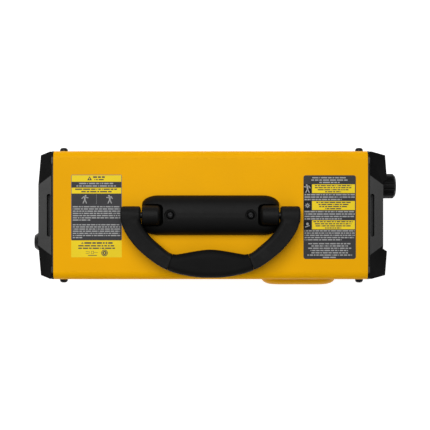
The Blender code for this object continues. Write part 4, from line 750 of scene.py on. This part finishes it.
face_rear = 0.0090
rear_face = -half_length - face_rear
fan_z, grille_radius, grille_pitch, grille_slot = 0.118, 0.0555, 0.0115, 0.0065
switch_y, switch_z, gland_y = 0.034, 0.224, -0.034
panel = end_block("rear_fascia", -1, 0.0063, face_rear, (-panel_half + gap, panel_low + gap),
                  (panel_half - gap, panel_high - gap), panel_round)
hole_near, hole_far = 0.004, 0.011
slots = []
for row in range(-4, 5):
    half = math.sqrt(grille_radius ** 2 - (row * grille_pitch) ** 2)
    row_z = fan_z + row * grille_pitch
    for side in (1, -1):
        edges = sorted((side * 0.002, side * half))
        slots.append(end_block("slot", -1, hole_near, hole_far, (edges[0], row_z - grille_slot / 2),
                               (edges[1], row_z + grille_slot / 2), 0.0028, 5))
slots.append(end_block("switch_hole", -1, hole_near, hole_far, (switch_y - 0.011, switch_z - 0.01425),
                       (switch_y + 0.011, switch_z + 0.01425), 0.001))
slots.append(peg("gland_hole", 0.009, -half_length - hole_near, -half_length - hole_far,
                 (gland_y, switch_z), 32))
carve(panel, join(*slots))
soften(panel, 0.0005, 2, 28)
fit(panel, panel_plastic, "black_nylon", "case", "rear_panel")
screw = pan_screw(0.0042, 0.0024, 0.0018, 0.0025, 32)
fan_corner = 0.0525
places = [(y, fan_z + z) for y in (-fan_corner, fan_corner) for z in (-fan_corner, fan_corner)]
places += [(y, 0.250) for y in (-0.058, 0.058)]
lean = Matrix.Rotation(-math.pi / 2, 4, "Y")
for number, (y, z) in enumerate(places, 1):
    drive(screw, f"rear_screw_{number}", (rear_face, y, z), lean, number)
bpy.data.objects.remove(screw)
plate_metal = finish("satin_plate", tint(150, 151, 154), 0.36, metallic=0.8, cloud=0.06, grain=0.00001)
plate_low, plate_high = (-0.034, 0.1800), (0.034, 0.2020)
rating = [film("rating_plate", plate_low, plate_high, 0, plate_metal, 0.002, plate_thick)]
rating.append(frame_line("plate_border", [v + 0.001 for v in plate_low], [v - 0.001 for v in plate_high],
                         plate_thick, ink_dark, 0.0015, 0.0004))
for column in range(4):
    for row in range(4):
        if (column, row) != (0, 3):
            rating.append(bar(0.0120 - 0.0025 * ((column + row) % 3), 0.0013,
                              (-0.0245 + 0.0163 * column, 0.1835 + 0.0050 * row), 0, plate_thick,
                              ink_dark))
rating.append(dot(0.0022, (-0.0245, 0.1985), plate_thick, ink_dark))
rating = hang(join(*reversed(rating)), -1, face_rear + film_gap)
rating.name = "rating_plate"
fit(rating, None, "zinc_steel", "case")

# ---------------------------------------------------------------- power switch
# A framed rocker switch clipped into the rear panel. The red rocker tips in it, marked with
# the usual line and ring.


def copy_of(node, name):
    """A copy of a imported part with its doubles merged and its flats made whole."""
    only(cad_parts[node])
    bpy.ops.object.duplicate(linked=False)
    copy = bpy.context.object
    copy.name = name
    for key in [k for k in copy.keys() if k.startswith("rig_")]:
        del copy[key]
    copy.parent = None
    copy.matrix_world = Matrix.Translation(-middle)
    edit(bake(copy))
    bpy.ops.mesh.customdata_custom_splitnormals_clear()
    merge(0.000005)
    bpy.ops.mesh.dissolve_limited(angle_limit=math.radians(1))
    shut()
    return copy


surround_frame = copy_of("switch_housing", "switch_frame")
soften(surround_frame, 0.0003)
fit(surround_frame, fan_plastic, "fan_plastic", "case", "switch_housing")
rocker = copy_of("power_rocker", "switch_rocker")
soften(rocker, 0.0005, 3, 30)
red = finish("red_switch", tint(176, 22, 18), 0.30, cloud=0.06, grain=0.00002, edge_highlight=0.2)
fit(rocker, red, "red_switch", "rocker", "power_rocker")
tilt, wing_lean, wing_out = math.radians(10), math.radians(28.5), 0.01138
hub = (rear_face + 0.0015, switch_y, switch_z)
line_mark = bar(0.0055, 0.0009, (0, 0), math.pi / 2, 0, ink_white, 0.0002)
ring_mark = frame_line("ring", (-0.0024, -0.0024), (0.0024, 0.0024), 0, ink_white, 0.00235, 0.0007)
for name, sign_mark, rise in (("on", line_mark, 1), ("off", ring_mark, -1)):
    hang(sign_mark, -1, 0)
    sign_mark.name = f"rocker_{name}_mark"
    bake(sign_mark, Matrix.Translation(hub) @ Matrix.Rotation(rise * wing_lean - tilt, 4, "Y")
         @ Matrix.Translation((half_length - wing_out, 0, 0)))
    fit(sign_mark, None, "red_switch", "rocker")

# ---------------------------------------------------------------- cable gland
# A nylon clamp gland for the mains cord: a six-sided body screwed through the rear panel and
# a fluted dome nut that squeezes the seal.

gland_at = (gland_y, switch_z)
hexagon = rod("gland_base", 6, 0.0135, 0.0057, (rear_face - 0.00315, *gland_at), (0, math.pi / 2, 0))
weld(hexagon, peg("neck", 0.0087, rear_face + 0.012, rear_face - 0.013, gland_at, 40))
carve(hexagon, peg("bore", 0.0065, rear_face + 0.014, rear_face - 0.015, gland_at, 40))
soften(hexagon, 0.0005)
fit(hexagon, nylon, "black_nylon", "case", "gland_body")
nut = turned("gland_dome_nut", [
    (0.0090, 0.0065), (0.0115, 0.0065), (0.0120, 0.0070), (0.0120, 0.0155), (0.0116, 0.0172),
    (0.0105, 0.0192), (0.0085, 0.0220), (0.0066, 0.0220), (0.0055, 0.0212), (0.0055, 0.0145),
    (0.0090, 0.0135), (0.0090, 0.0065),
], "X", gland_at, 72, rear_face, -1)
carve(nut, flutes(14, 0, 0.0121, 0.0009, rear_face - 0.0085, rear_face - 0.0180, gland_at, 12))
soften(nut, 0.0002, 2, 30)
fit(nut, nylon, "black_nylon", "case", "gland_nut")

# ---------------------------------------------------------------- top cover
# One sheet of 1.2 mm steel folded over the chassis, with a pressed bulge on one side that
# clears the choke and a row of upright vent slots low in each side. Powder coated yellow.

yellow = finish("yellow_powder_coat", tint(240, 172, 0), 0.42, cloud=0.035, cloud_size=0.09,
                grain=0.00003, grain_size=0.0016, patchy=0.05, edge_highlight=0.0, specular=0.04)
cover = block("folded_cover", (-half_length, -half_width, floor_gap), (half_length, half_width, top))
edit(cover)
pick("FACE", lambda f: f.normal.z < -0.9 or abs(f.normal.x) > 0.9)
bpy.ops.mesh.delete(type="FACE")
pick("EDGE", lambda e: runs(e, 0) and min(v.co.z for v in e.verts) > top - 0.001)
bpy.ops.mesh.bevel(offset=bend, segments=14)
shut()
only(cover)
wall = cover.modifiers.new("sheet", "SOLIDIFY")
wall.thickness, wall.offset, wall.use_even_offset = sheet, -1, True
bpy.ops.object.modifier_apply(modifier=wall.name)


bulge_x, bulge_half, bulge_low, bulge_high = 0.1125, 0.0475, 0.146, 0.250
bulge_proud, shoulder, bulge_corner = 0.0085, 0.0135, 0.026


def bulge(name, shrink, start):
    """The pressed pillow, from inside the side wall outwards, rounded over in ten steps."""
    wall_y = -half_width + shrink
    low = (bulge_x - bulge_half + shrink, wall_y - 0.0001, bulge_low + shrink)
    high = (bulge_x + bulge_half - shrink, start, bulge_high - shrink)
    piece = rounded_block(name, low, high, 1, bulge_corner - shrink, 14)
    edit(piece)
    pick("FACE", lambda f: f.normal.y < -0.9)
    angles = [math.radians(9 * step) for step in range(11)]
    for near, far in zip(angles, angles[1:]):
        bpy.ops.mesh.inset(thickness=shoulder * (math.cos(near) - math.cos(far)),
                           depth=(bulge_proud - 0.0001) * (math.sin(far) - math.sin(near)))
    shut()
    return piece


weld(cover, bulge("bulge", 0, -half_width + sheet / 2))
carve(cover, bulge("bulge_inside", sheet, -half_width + 0.004))
vent_x, vent_wide, vent_pitch = -0.165, 0.005, 0.012
vent = rounded_block("vent", (vent_x, -0.1, 0.052), (vent_x + vent_wide, 0.1, 0.102), 1, 0.0024, 5)
edit(vent)
for column in range(8):
    last_x = vent_x + vent_pitch * column
    pick("FACE", lambda f: last_x - 0.0005 < f.calc_center_median().x < last_x + vent_wide + 0.0005)
    bpy.ops.mesh.duplicate_move(TRANSFORM_OT_translate={"value": (vent_pitch, 0, 0)})
shut()
carve(cover, vent)
screw_x, screw_heights = {1: half_length - 0.0083, -1: 0.0104 - half_length}, (0.258, 0.0475)
for x in screw_x.values():
    for z in screw_heights:
        carve(cover, rod("screw_hole", 20, 0.0023, 0.2, (x, 0, z), (math.pi / 2, 0, 0)))
soften(cover, 0.0003, 2, 28)
fit(cover, yellow, "yellow_paint", "case", "top_cover")

# ---------------------------------------------------------------- cover screws
# Eight blackened pan-head screws with a cross recess, four on each side, driven through the
# cover into the end frames' lips.

head_radius, head_height, shank_radius = 0.0050, 0.0045, 0.0020
screw = pan_screw(head_radius, head_height, shank_radius, 0.010)
places = [(x, z, side) for x in screw_x.values() for z in screw_heights for side in (1, -1)]
for number, (x, z, side) in enumerate(places, 1):
    drive(screw, f"side_screw_{number}", (x, side * (half_width + gap), z),
          Matrix.Rotation(-side * math.pi / 2, 4, "X"), 0.35 * number, f"cover_screw_{number}")
bpy.data.objects.remove(screw)

# ---------------------------------------------------------------- handle base
# A long oval nylon moulding on the cover, crowned along its length, with a pivot barrel in a
# pocket at each end. Two screws in round recesses hold it to a plate under the cover.

hinge_z = top + 0.015
base_half, base_wide = 0.085, 0.0246
barrel_radius, barrel_end, barrel_long, barrel_dome, pocket = 0.012, 0.0835, 0.0235, 0.005, 0.0018
pedestal_half, bolt_bore = 0.0065, 0.0043
saddle_round, saddle_stretch, saddle_flank, saddle_rise = 0.0115, 0.0085, 0.0018, 0.0170
base = rounded_block("handle_saddle", (saddle_stretch - base_half, -base_wide, top + gap),
                     (base_half - saddle_stretch, base_wide, top + saddle_flank), 2, saddle_round, 14)
corner_start = base_half - saddle_stretch - saddle_round
edit(base)
for side in (1, -1):
    pick("VERT", lambda v: side * v.co.x > corner_start + 0.00001)
    bpy.ops.transform.resize(value=(1 + saddle_stretch / saddle_round, 1, 1),
                             center_override=(side * corner_start, 0, top))
pick("FACE", lambda f: f.normal.z > 0.9)
risen, drawn_in = 0, 0
for angle in range(6, 85, 6):
    up = saddle_rise * math.sin(math.radians(angle))
    inset = base_wide * (1 - math.cos(math.radians(angle)))
    bpy.ops.mesh.extrude_region_move(TRANSFORM_OT_translate={"value": (0, 0, up - risen)})
    bpy.ops.transform.resize(value=((base_half - inset) / (base_half - drawn_in),
                                    (base_wide - inset) / (base_wide - drawn_in), 1),
                             center_override=(0, 0, top))
    risen, drawn_in = up, inset
shut()
barrel_start = barrel_end - barrel_long
wide = barrel_radius + pocket
for side in (1, -1):
    carve(base, turned("pocket", [
        (0, barrel_start - pocket), (wide * 0.72, barrel_start - pocket),
        (wide * 0.93, barrel_start + 0.0005), (wide, barrel_start + barrel_dome), (wide, 0.1), (0, 0.1),
    ], "X", (0, hinge_z), 48, way=side))
dome = [(barrel_radius * math.sin(math.radians(a)),
         barrel_start + barrel_dome * (1 - math.cos(math.radians(a)))) for a in range(0, 91, 10)]
for side in (1, -1):
    weld(base, turned("barrel", dome + [
        (barrel_radius, barrel_end - 0.0008), (barrel_radius - 0.0008, barrel_end), (0, barrel_end),
    ], "X", (0, hinge_z), 48, way=side))
    ends = sorted((side * (barrel_start + 0.003), side * (barrel_end - gap)))
    weld(base, block("pedestal", (ends[0], -pedestal_half, top + gap),
                     (ends[1], pedestal_half, hinge_z - 0.006)))
    carve(base, peg("bore", bolt_bore, side * (barrel_end - 0.015), side * (barrel_end + 0.005),
                    (0, hinge_z), 24))
saddle_screw_x, saddle_seat = 0.0495, top + 0.0125
for side in (1, -1):
    carve(base, turned("screw_recess", [
        (0, top - 0.001), (0.0023, top - 0.001), (0.0023, saddle_seat), (0.0072, saddle_seat),
        (0.0072, saddle_seat + 0.02), (0, saddle_seat + 0.02),
    ], "Z", (side * saddle_screw_x, 0), 40))
soften(base, 0, angle=24)
saddle_nylon = finish("saddle_nylon", tint(12, 12, 12), 0.50, cloud=0.10, cloud_size=0.04, grain=0.00004,
                      grain_size=0.0007, patchy=0.05, edge_highlight=0.15, specular=0.12)
fit(base, saddle_nylon, "black_nylon", "case", "handle_base")
screw = pan_screw(head_radius, head_height, shank_radius, 0.0205)
for name, side in (("front", 1), ("rear", -1)):
    drive(screw, f"saddle_screw_{name}", (side * saddle_screw_x, 0, saddle_seat + gap),
          Matrix(), 0.5 + side * 0.3, f"handle_screw_{name}")
bpy.data.objects.remove(screw)

# ---------------------------------------------------------------- handle bail and grip
# The bail is a stiff nylon hoop that folds over from one side to the other: a rounded knuckle
# round each pivot bolt, arms with a wide flat on top, and a core that the soft rubber grip is
# moulded on.

stations = [
    (0.0980, 0.0000, 0.0240, 0.0220), (0.0968, 0.0100, 0.0225, 0.0215), (0.0912, 0.0215, 0.0215, 0.0210),
    (0.0808, 0.0345, 0.0212, 0.0205), (0.0682, 0.0455, 0.0208, 0.0205), (0.0560, 0.0545, 0.0198, 0.0208),
    (0.0460, 0.0585, 0.0208, 0.0220), (0.0360, 0.0599, 0.0245, 0.0240), (0.0180, 0.0600, 0.0308, 0.0262),
    (0.0000, 0.0594, 0.0334, 0.0268),
]
knots = [tuple(2 * a - b for a, b in zip(*stations[:2])), *stations, (-stations[-2][0], *stations[-2][1:])]
line = []
for p0, p1, p2, p3 in zip(knots, knots[1:], knots[2:], knots[3:]):
    for t in (0, 0.25, 0.5, 0.75):
        line.append([0.5 * (2 * b + (c - a) * t + (2 * a - 5 * b + 4 * c - d) * t * t
                            + (3 * b - a - 3 * c + d) * t ** 3) for a, b, c, d in zip(p0, p1, p2, p3)])
line.append(list(stations[-1]))
line += [[-x, *rest] for x, *rest in reversed(line[:-1])]
hoop = []
for index, (x, y, width, depth) in enumerate(line):
    before, after = line[max(index - 1, 0)], line[min(index + 1, len(line) - 1)]
    run = Vector((after[0] - before[0], before[1] - after[1], 0)).normalized()
    if index in (0, len(line) - 1):
        run = Vector((0, -1 if index == 0 else 1, 0))
    hoop.append((Vector((x, -y, hinge_z)), run, width, depth))


def loft(name, rings, inner_round, outer_round, steps):
    """Rectangles set square to the hoop's line, bridged into a bar whose long edges are rounded."""
    only()
    bpy.ops.mesh.primitive_plane_add(size=0.001)
    piece = bpy.context.object
    piece.name = name
    edit(piece)
    bpy.ops.mesh.delete(type="VERT")
    for place, run, width, depth in rings:
        bpy.ops.mesh.primitive_plane_add(size=1, location=place, rotation=(math.pi / 2, 0, 0))
        bpy.ops.transform.resize(value=(width, 1, depth), center_override=place)
        bpy.ops.transform.rotate(value=-math.atan2(run.x, -run.y), orient_axis="Z", center_override=place)
    bpy.ops.mesh.select_mode(type="FACE")
    bpy.ops.mesh.select_all(action="SELECT")
    bpy.ops.mesh.delete(type="ONLY_FACE")
    bpy.ops.mesh.select_mode(type="EDGE")
    bpy.ops.mesh.select_all(action="SELECT")
    bpy.ops.mesh.bridge_edge_loops()
    for place, run, width, depth in (rings[0], rings[-1]):
        pick("EDGE", lambda e: e.is_boundary and all(abs((v.co - place).dot(run)) < 0.0001 for v in e.verts))
        bpy.ops.mesh.edge_face_add()

    def inward(edge):
        centre = (edge.verts[0].co + edge.verts[1].co) / 2
        place, run = min(rings, key=lambda ring: (ring[0] - centre).length)[:2]
        return (centre - place).dot(Vector((-run.y, run.x, 0))) < 0

    def long_edge(edge):
        along = (edge.verts[0].co - edge.verts[1].co).normalized()
        near = min(rings, key=lambda ring: (ring[0] - edge.verts[0].co).length)
        return abs(along.dot(near[1])) > 0.7 and len(edge.link_faces) == 2 and edge.calc_face_angle() > 1

    for wanted, offset in ((True, inner_round), (False, outer_round)):
        pick("EDGE", lambda e: long_edge(e) and inward(e) == wanted)
        bpy.ops.mesh.bevel(offset=offset, segments=steps, affect="EDGES")
    outward()
    shut()
    return piece


def hoop_at(x):
    """The hoop's ring at a place across, between the two nearest rings."""
    for near, far in zip(hoop, hoop[1:]):
        if near[0].x >= x >= far[0].x:
            share = (near[0].x - x) / (near[0].x - far[0].x)
            return tuple(a * (1 - share) + b * share for a, b in zip(near, far))


grip_half = 0.050
arm_rings = [ring for ring in hoop if ring[0].x > grip_half + 0.0005] + [hoop_at(grip_half + 0.0001)]
arm_inner, arm_outer = 0.0062, 0.0026
arm = loft("carry_handle", arm_rings, arm_inner, arm_outer, 3)
knuckle = turned("knuckle", [(0, 0.0860), (0.0095, 0.0860), (0.0110, 0.0875), (0.0110, 0.1072),
                             (0.0102, 0.1092), (0.0085, 0.1100), (0, 0.1100)], "X", (0, hinge_z), 64)
weld(arm, knuckle)
other_arm = again(arm, "other_arm", Matrix.Diagonal((-1, 1, 1, 1)))
edit(other_arm)
outward()
shut()
weld(arm, rod("core", 24, 0.006, 0.104, (0, -0.0578, hinge_z), (0, math.pi / 2, 0)))
weld(arm, other_arm)
for side in (1, -1):
    carve(arm, turned("bolt_bore", [
        (0, 0.083), (bolt_bore, 0.083), (bolt_bore, 0.1035), (0.0074, 0.1035), (0.0074, 0.113), (0, 0.113),
    ], "X", (0, hinge_z), 40, way=side))
soften(arm, 0.0005, 2, 30)
arm_nylon = finish("textured_nylon", tint(14, 14, 14), 0.54, specular=0.1, cloud=0.08, cloud_size=0.03,
                   grain=0.00009, grain_size=0.0008, patchy=0.05, edge_highlight=0.15)
fit(arm, arm_nylon, "black_nylon", "handle", "handle_bail")
grip_rings = [hoop_at(grip_half - 0.0003), *(ring for ring in hoop if abs(ring[0].x) < grip_half - 0.001),
              hoop_at(0.0003 - grip_half)]
grip_deepest, grip_inner, grip_outer = 0.0266, 0.0092, 0.0080
grip_rings = [(place, run, width + 0.0008, min(depth + 0.0006, grip_deepest))
              for place, run, width, depth in grip_rings]
grip = loft("moulded_grip", grip_rings, grip_inner, grip_outer, 8)
soften(grip, 0.0008, 3, 40)
soft = finish("soft_rubber", tint(15, 15, 15), 0.68, specular=0.1, cloud=0.12, cloud_size=0.02, grain=0.00012,
              grain_size=0.0007, patchy=0.06)
fit(grip, soft, "soft_grip", "handle", "handle_grip")
seat = 0.1038
for name, side in (("front", 1), ("rear", -1)):
    bolt = turned(f"pivot_screw_{name}", [
        (0, 0.0695), (0.0040, 0.0695), (0.0040, seat), (0.0068, seat), (0.0068, seat + 0.0022),
        (0.0058, seat + 0.0036), (0.0036, seat + 0.0045), (0, seat + 0.0045),
    ], "X", (0, hinge_z), 48, way=side)
    carve(bolt, rod("hexagon_recess", 6, 0.0029, 0.004, (side * (seat + 0.004), 0, hinge_z),
                    (0, math.pi / 2, 0)))
    soften(bolt, 0.0002, 2, 25)
    fit(bolt, black_steel, "black_screw", "case", f"pivot_bolt_{name}")

# ---------------------------------------------------------------- labels
# Two printed film labels on the cover's top, one each side of the handle. Their wording is
# stood in for by rows of plain dashes, and their pictures by simple generic figures.

chance = random.Random(7)


def wording(low, high, rows, level, material, centred=False, last=1.0, cell=0.0009):
    """A paragraph of dashes: a fine grid, thinned into words and gaps, then raised as ink."""
    width, height = high[0] - low[0], high[1] - low[1]
    columns = max(2, round(width / cell))
    only()
    bpy.ops.mesh.primitive_grid_add(x_subdivisions=columns, y_subdivisions=2 * rows - 1, size=1)
    piece = bpy.context.object
    piece.name = "wording"
    centre = Vector(((low[0] + high[0]) / 2, (low[1] + high[1]) / 2, level))
    bake(piece, Matrix.LocRotScale(centre, None, Vector((width, height, 1))))
    kept = set()
    for row in range(rows):
        share = last if row == rows - 1 else (chance.uniform(0.72, 1.0) if centred else 1.0)
        used = max(3, int(columns * share))
        column = (columns - used) // 2 if centred else 0
        stop = column + used
        while column < stop:
            word = chance.choice((1, 2, 3, 3, 4, 4, 5, 6, 7, 8))
            kept.update((c, row) for c in range(column, min(column + word, stop)))
            column += word + 1
    edit(piece)
    line_height = height / (2 * rows - 1)

    def unwanted(face):
        centre = face.calc_center_median()
        strip = int((high[1] - centre.y) / line_height)
        return strip % 2 == 1 or (int((centre.x - low[0]) / (width / columns)), strip // 2) not in kept

    pick("FACE", unwanted)
    bpy.ops.mesh.delete(type="FACE")
    pick("FACE", lambda f: True)
    bpy.ops.mesh.extrude_region_move(TRANSFORM_OT_translate={"value": (0, 0, ink_thick)})
    pick("EDGE", lambda e: e.is_boundary)
    bpy.ops.mesh.edge_face_add()
    outward()
    shut()
    return paint(piece, material)


def triangle(size, at, level, material, mark_material):
    """A plain caution triangle with a short stroke in it."""
    piece = rod("triangle", 3, size, ink_thick, (*at, level + ink_thick / 2))
    edit(piece)
    pick("EDGE", lambda e: runs(e, 2))
    bpy.ops.mesh.bevel(offset=size * 0.12, segments=3)
    shut()
    stroke_at = (at[0], at[1] + size * 0.05)
    return [paint(piece, material),
            bar(size * 0.75, size * 0.22, stroke_at, math.pi / 2, level + ink_thick, mark_material)]


def strokes(rows, at, level, material):
    """Printed strokes round a place, each as (length, width, across, up, angle in degrees)."""
    return [bar(length, width, (at[0] + x, at[1] + y), math.radians(angle), level, material)
            for length, width, x, y, angle in rows]


def figure(at, lean, level, material):
    """A plain stick figure: a round head, a body, two arms and two legs."""
    return [dot(0.0011, (at[0] + lean * 0.0010, at[1] + 0.0046), level, material)] + strokes((
        (0.0046, 0.0019, 0.0000, 0.0014, 90), (0.0040, 0.0011, -0.0024, 0.0024, 20 + lean * 25),
        (0.0040, 0.0011, 0.0024, 0.0024, -35 + lean * 25), (0.0046, 0.0012, -0.0013, -0.0028, 65),
        (0.0046, 0.0012, 0.0013, -0.0028, 115),
    ), at, level, material)


level = top + film_gap
on_film = level + film_thick
border = finish("border_film", tint(72, 76, 98), 0.45, cloud=0.05, grain=0.00001)
left, right, high, low = -0.1729, -0.1101, 0.0502, -0.0523
thin = 0.00008
label = [film("edge_film", (left, -0.0311), (right, high), level, border, 0.0016)]
yellow_level = on_film + thin
for name, bottom, ceiling, material in (
    ("heading", 0.0415, 0.0496, film_yellow), ("band", 0.0341, 0.0415, film_dark),
    ("second_band", 0.0269, 0.0341, film_yellow), ("text_field", -0.0311, 0.0269, film_dark),
):
    label.append(film(name, (left + 0.0006, bottom), (right - 0.0006, ceiling), on_film, material, 0, thin))
label.append(film("foot_band", (left, low), (right, -0.0313), level, film_yellow, 0.0004))
centre = (left + right) / 2
label += triangle(0.0034, (-0.1500, 0.0450), yellow_level, ink_dark, film_yellow)
text_left, text_right = left + 0.0020, right - 0.0020
for text_low, text_high, rows, text_level, ink, centred, last, cell in (
    ((-0.1456, 0.0463), (-0.1312, 0.0482), 1, yellow_level, ink_dark, True, 1.0, 0.0012),
    ((-0.1440, 0.0434), (-0.1325, 0.0448), 1, yellow_level, ink_dark, True, 1.0, 0.0010),
    ((-0.1696, 0.0355), (-0.1130, 0.0401), 2, yellow_level, ink_white, True, 0.88, 0.0011),
    ((-0.1680, 0.0284), (-0.1150, 0.0330), 2, yellow_level, ink_dark, True, 0.72, 0.0011),
    ((text_left, -0.0067), (text_right, 0.0112), 7, yellow_level, ink_white, False, 0.38, 0.0009),
    ((text_left, -0.0285), (text_right, -0.0112), 7, yellow_level, ink_white, False, 0.22, 0.0009),
    ((-0.1565, -0.0354), (-0.1215, -0.0335), 1, on_film, ink_dark, True, 1.0, 0.0011),
    ((-0.1640, -0.0417), (-0.1185, -0.0372), 2, on_film, ink_dark, True, 1.0, 0.0011),
):
    label.append(wording(text_low, text_high, rows, text_level, ink, centred, last, cell))
label.append(bar(0.0120, 0.0002, (centre, 0.0198), math.pi / 2, yellow_level, ink_white))
label += figure((-0.1560, 0.0195), 1, yellow_level, ink_white)
label += figure((-0.1250, 0.0195), -1, yellow_level, ink_white)
label += triangle(0.0017, (-0.1590, -0.0346), on_film, ink_dark, film_yellow)
label += strokes((
    (0.0036, 0.0004, -0.0060, 0.0010, 0), (0.0036, 0.0004, -0.0060, -0.0012, 0),
    (0.0030, 0.0004, -0.0035, 0, 90), (0.0030, 0.0004, 0.0005, 0.0015, 0),
    (0.0030, 0.0004, 0.0005, -0.0015, 0), (0.0030, 0.0004, 0.0020, 0, 90),
    (0.0030, 0.0004, -0.0010, 0, 90), (0.0050, 0.0004, 0.0045, 0, 0),
    (0.0110, 0.0008, 0.0005, -0.0036, 0),
), (-0.1470, -0.0462), on_film, ink_dark)
for layer, (radius, ink, sides) in enumerate((
    (0.0040, ink_dark, 32), (0.0031, film_yellow, 32), (0.0026, ink_dark, 8), (0.0010, film_yellow, 32),
)):
    label.append(dot(radius, (-0.1315, -0.0468), on_film + layer * ink_thick, ink, sides=sides))
left_label = join(*reversed(label))
left_label.name = "left_label"
fit(left_label, None, "yellow_paint", "case")

left, right, high, low = 0.1152, 0.1802, 0.0495, -0.0543
label = [film("backing", (left, low), (right, high), level, film_dark, 0.0029)]
label.append(wording((0.1195, 0.0399), (0.1765, 0.0472), 3, on_film, ink_white, True, 0.45, 0.0011))
black_film = finish("black_film", tint(14, 14, 16), 0.5, specular=0.15, cloud=0.05, grain=0.00001)
for bottom, ceiling, rows, text_low in (
    (0.0274, 0.0383, 3, 0.0187), (0.0064, 0.0176, 4, -0.0053), (-0.0175, -0.0064, 5, -0.0312),
):
    label.append(film("box", (0.1258, bottom), (0.1790, ceiling), on_film, film_yellow, 0, thin))
    label.append(film("icon", (0.1159, bottom), (0.1245, ceiling), on_film, black_film, 0, thin))
    label.append(wording((0.1275, bottom + 0.0010), (0.1773, ceiling - 0.0010), 4, yellow_level,
                         ink_dark, True, 0.40))
    label.append(wording((left + 0.0014, text_low), (right - 0.0014, bottom - 0.0012), rows, on_film,
                         ink_white, False, 0.75))
label += figure((0.1202, 0.0327), -1, yellow_level, ink_white)
for angle in range(0, 180, 45):
    label.append(bar(0.0062, 0.0009, (0.1202, 0.0120), math.radians(angle), yellow_level, ink_white))
label.append(dot(0.0016, (0.1202, -0.0108), yellow_level, ink_white))
label.append(bar(0.0060, 0.0011, (0.1200, -0.0138), 0.35, yellow_level, ink_white))
label.append(wording((0.1180, -0.0530), (0.1775, -0.0346), 7, on_film, ink_white, True, 0.30, 0.0010))
right_label = join(*reversed(label))
right_label.name = "right_label"
fit(right_label, None, "yellow_paint", "case")

# ---------------------------------------------------------------- floor, light, camera
# A plain white floor, one large soft light overhead towards the handle's far side, a weak
# fill from the other side and a dim even surround. The camera looks straight down.

only()
bpy.ops.mesh.primitive_plane_add(size=40)
floor = bpy.context.object
floor.name = "floor"
paper = bpy.data.materials.new("white_paper")
paper.use_nodes = True
shade = paper.node_tree.nodes["Principled BSDF"]
shade.inputs["Base Color"].default_value = (0.55, 0.55, 0.55, 1)
shade.inputs["Roughness"].default_value = 0.9
white = (1, 1, 1, 1)
shade.inputs["Emission Color"].default_value = white
shade.inputs["Emission Strength"].default_value = 0.85
floor.data.materials.append(paper)
surround = bpy.data.worlds.new("surround")
surround.use_nodes = True
background = surround.node_tree.nodes["Background"]
background.inputs["Color"].default_value = white
background.inputs["Strength"].default_value = 0.16
bpy.context.scene.world = surround
lit_middle = Vector((0, 0, 0.25))
for name, place, size, power in (
    ("overhead", (-0.30, 0.75, 2.10), 1.8, 36),
    ("fill", (0.55, -0.9, 2.3), 1.6, 7),
):
    lamp = bpy.data.lights.new(name, "AREA")
    lamp.size = size
    lamp.energy = power
    holder = bpy.data.objects.new(name, lamp)
    bpy.context.scene.collection.objects.link(holder)
    holder.location = place
    holder.rotation_euler = (lit_middle - Vector(place)).to_track_quat("-Z", "Y").to_euler()
bpy.context.scene.view_settings.view_transform = "Standard"
camera = bpy.data.objects.new("camera", bpy.data.cameras.new("camera"))
bpy.context.scene.collection.objects.link(camera)
camera.location = (0.0005, 0.0021, 1.68)
camera.data.lens = 94.5
camera.data.sensor_width = 36
bpy.context.scene.camera = camera
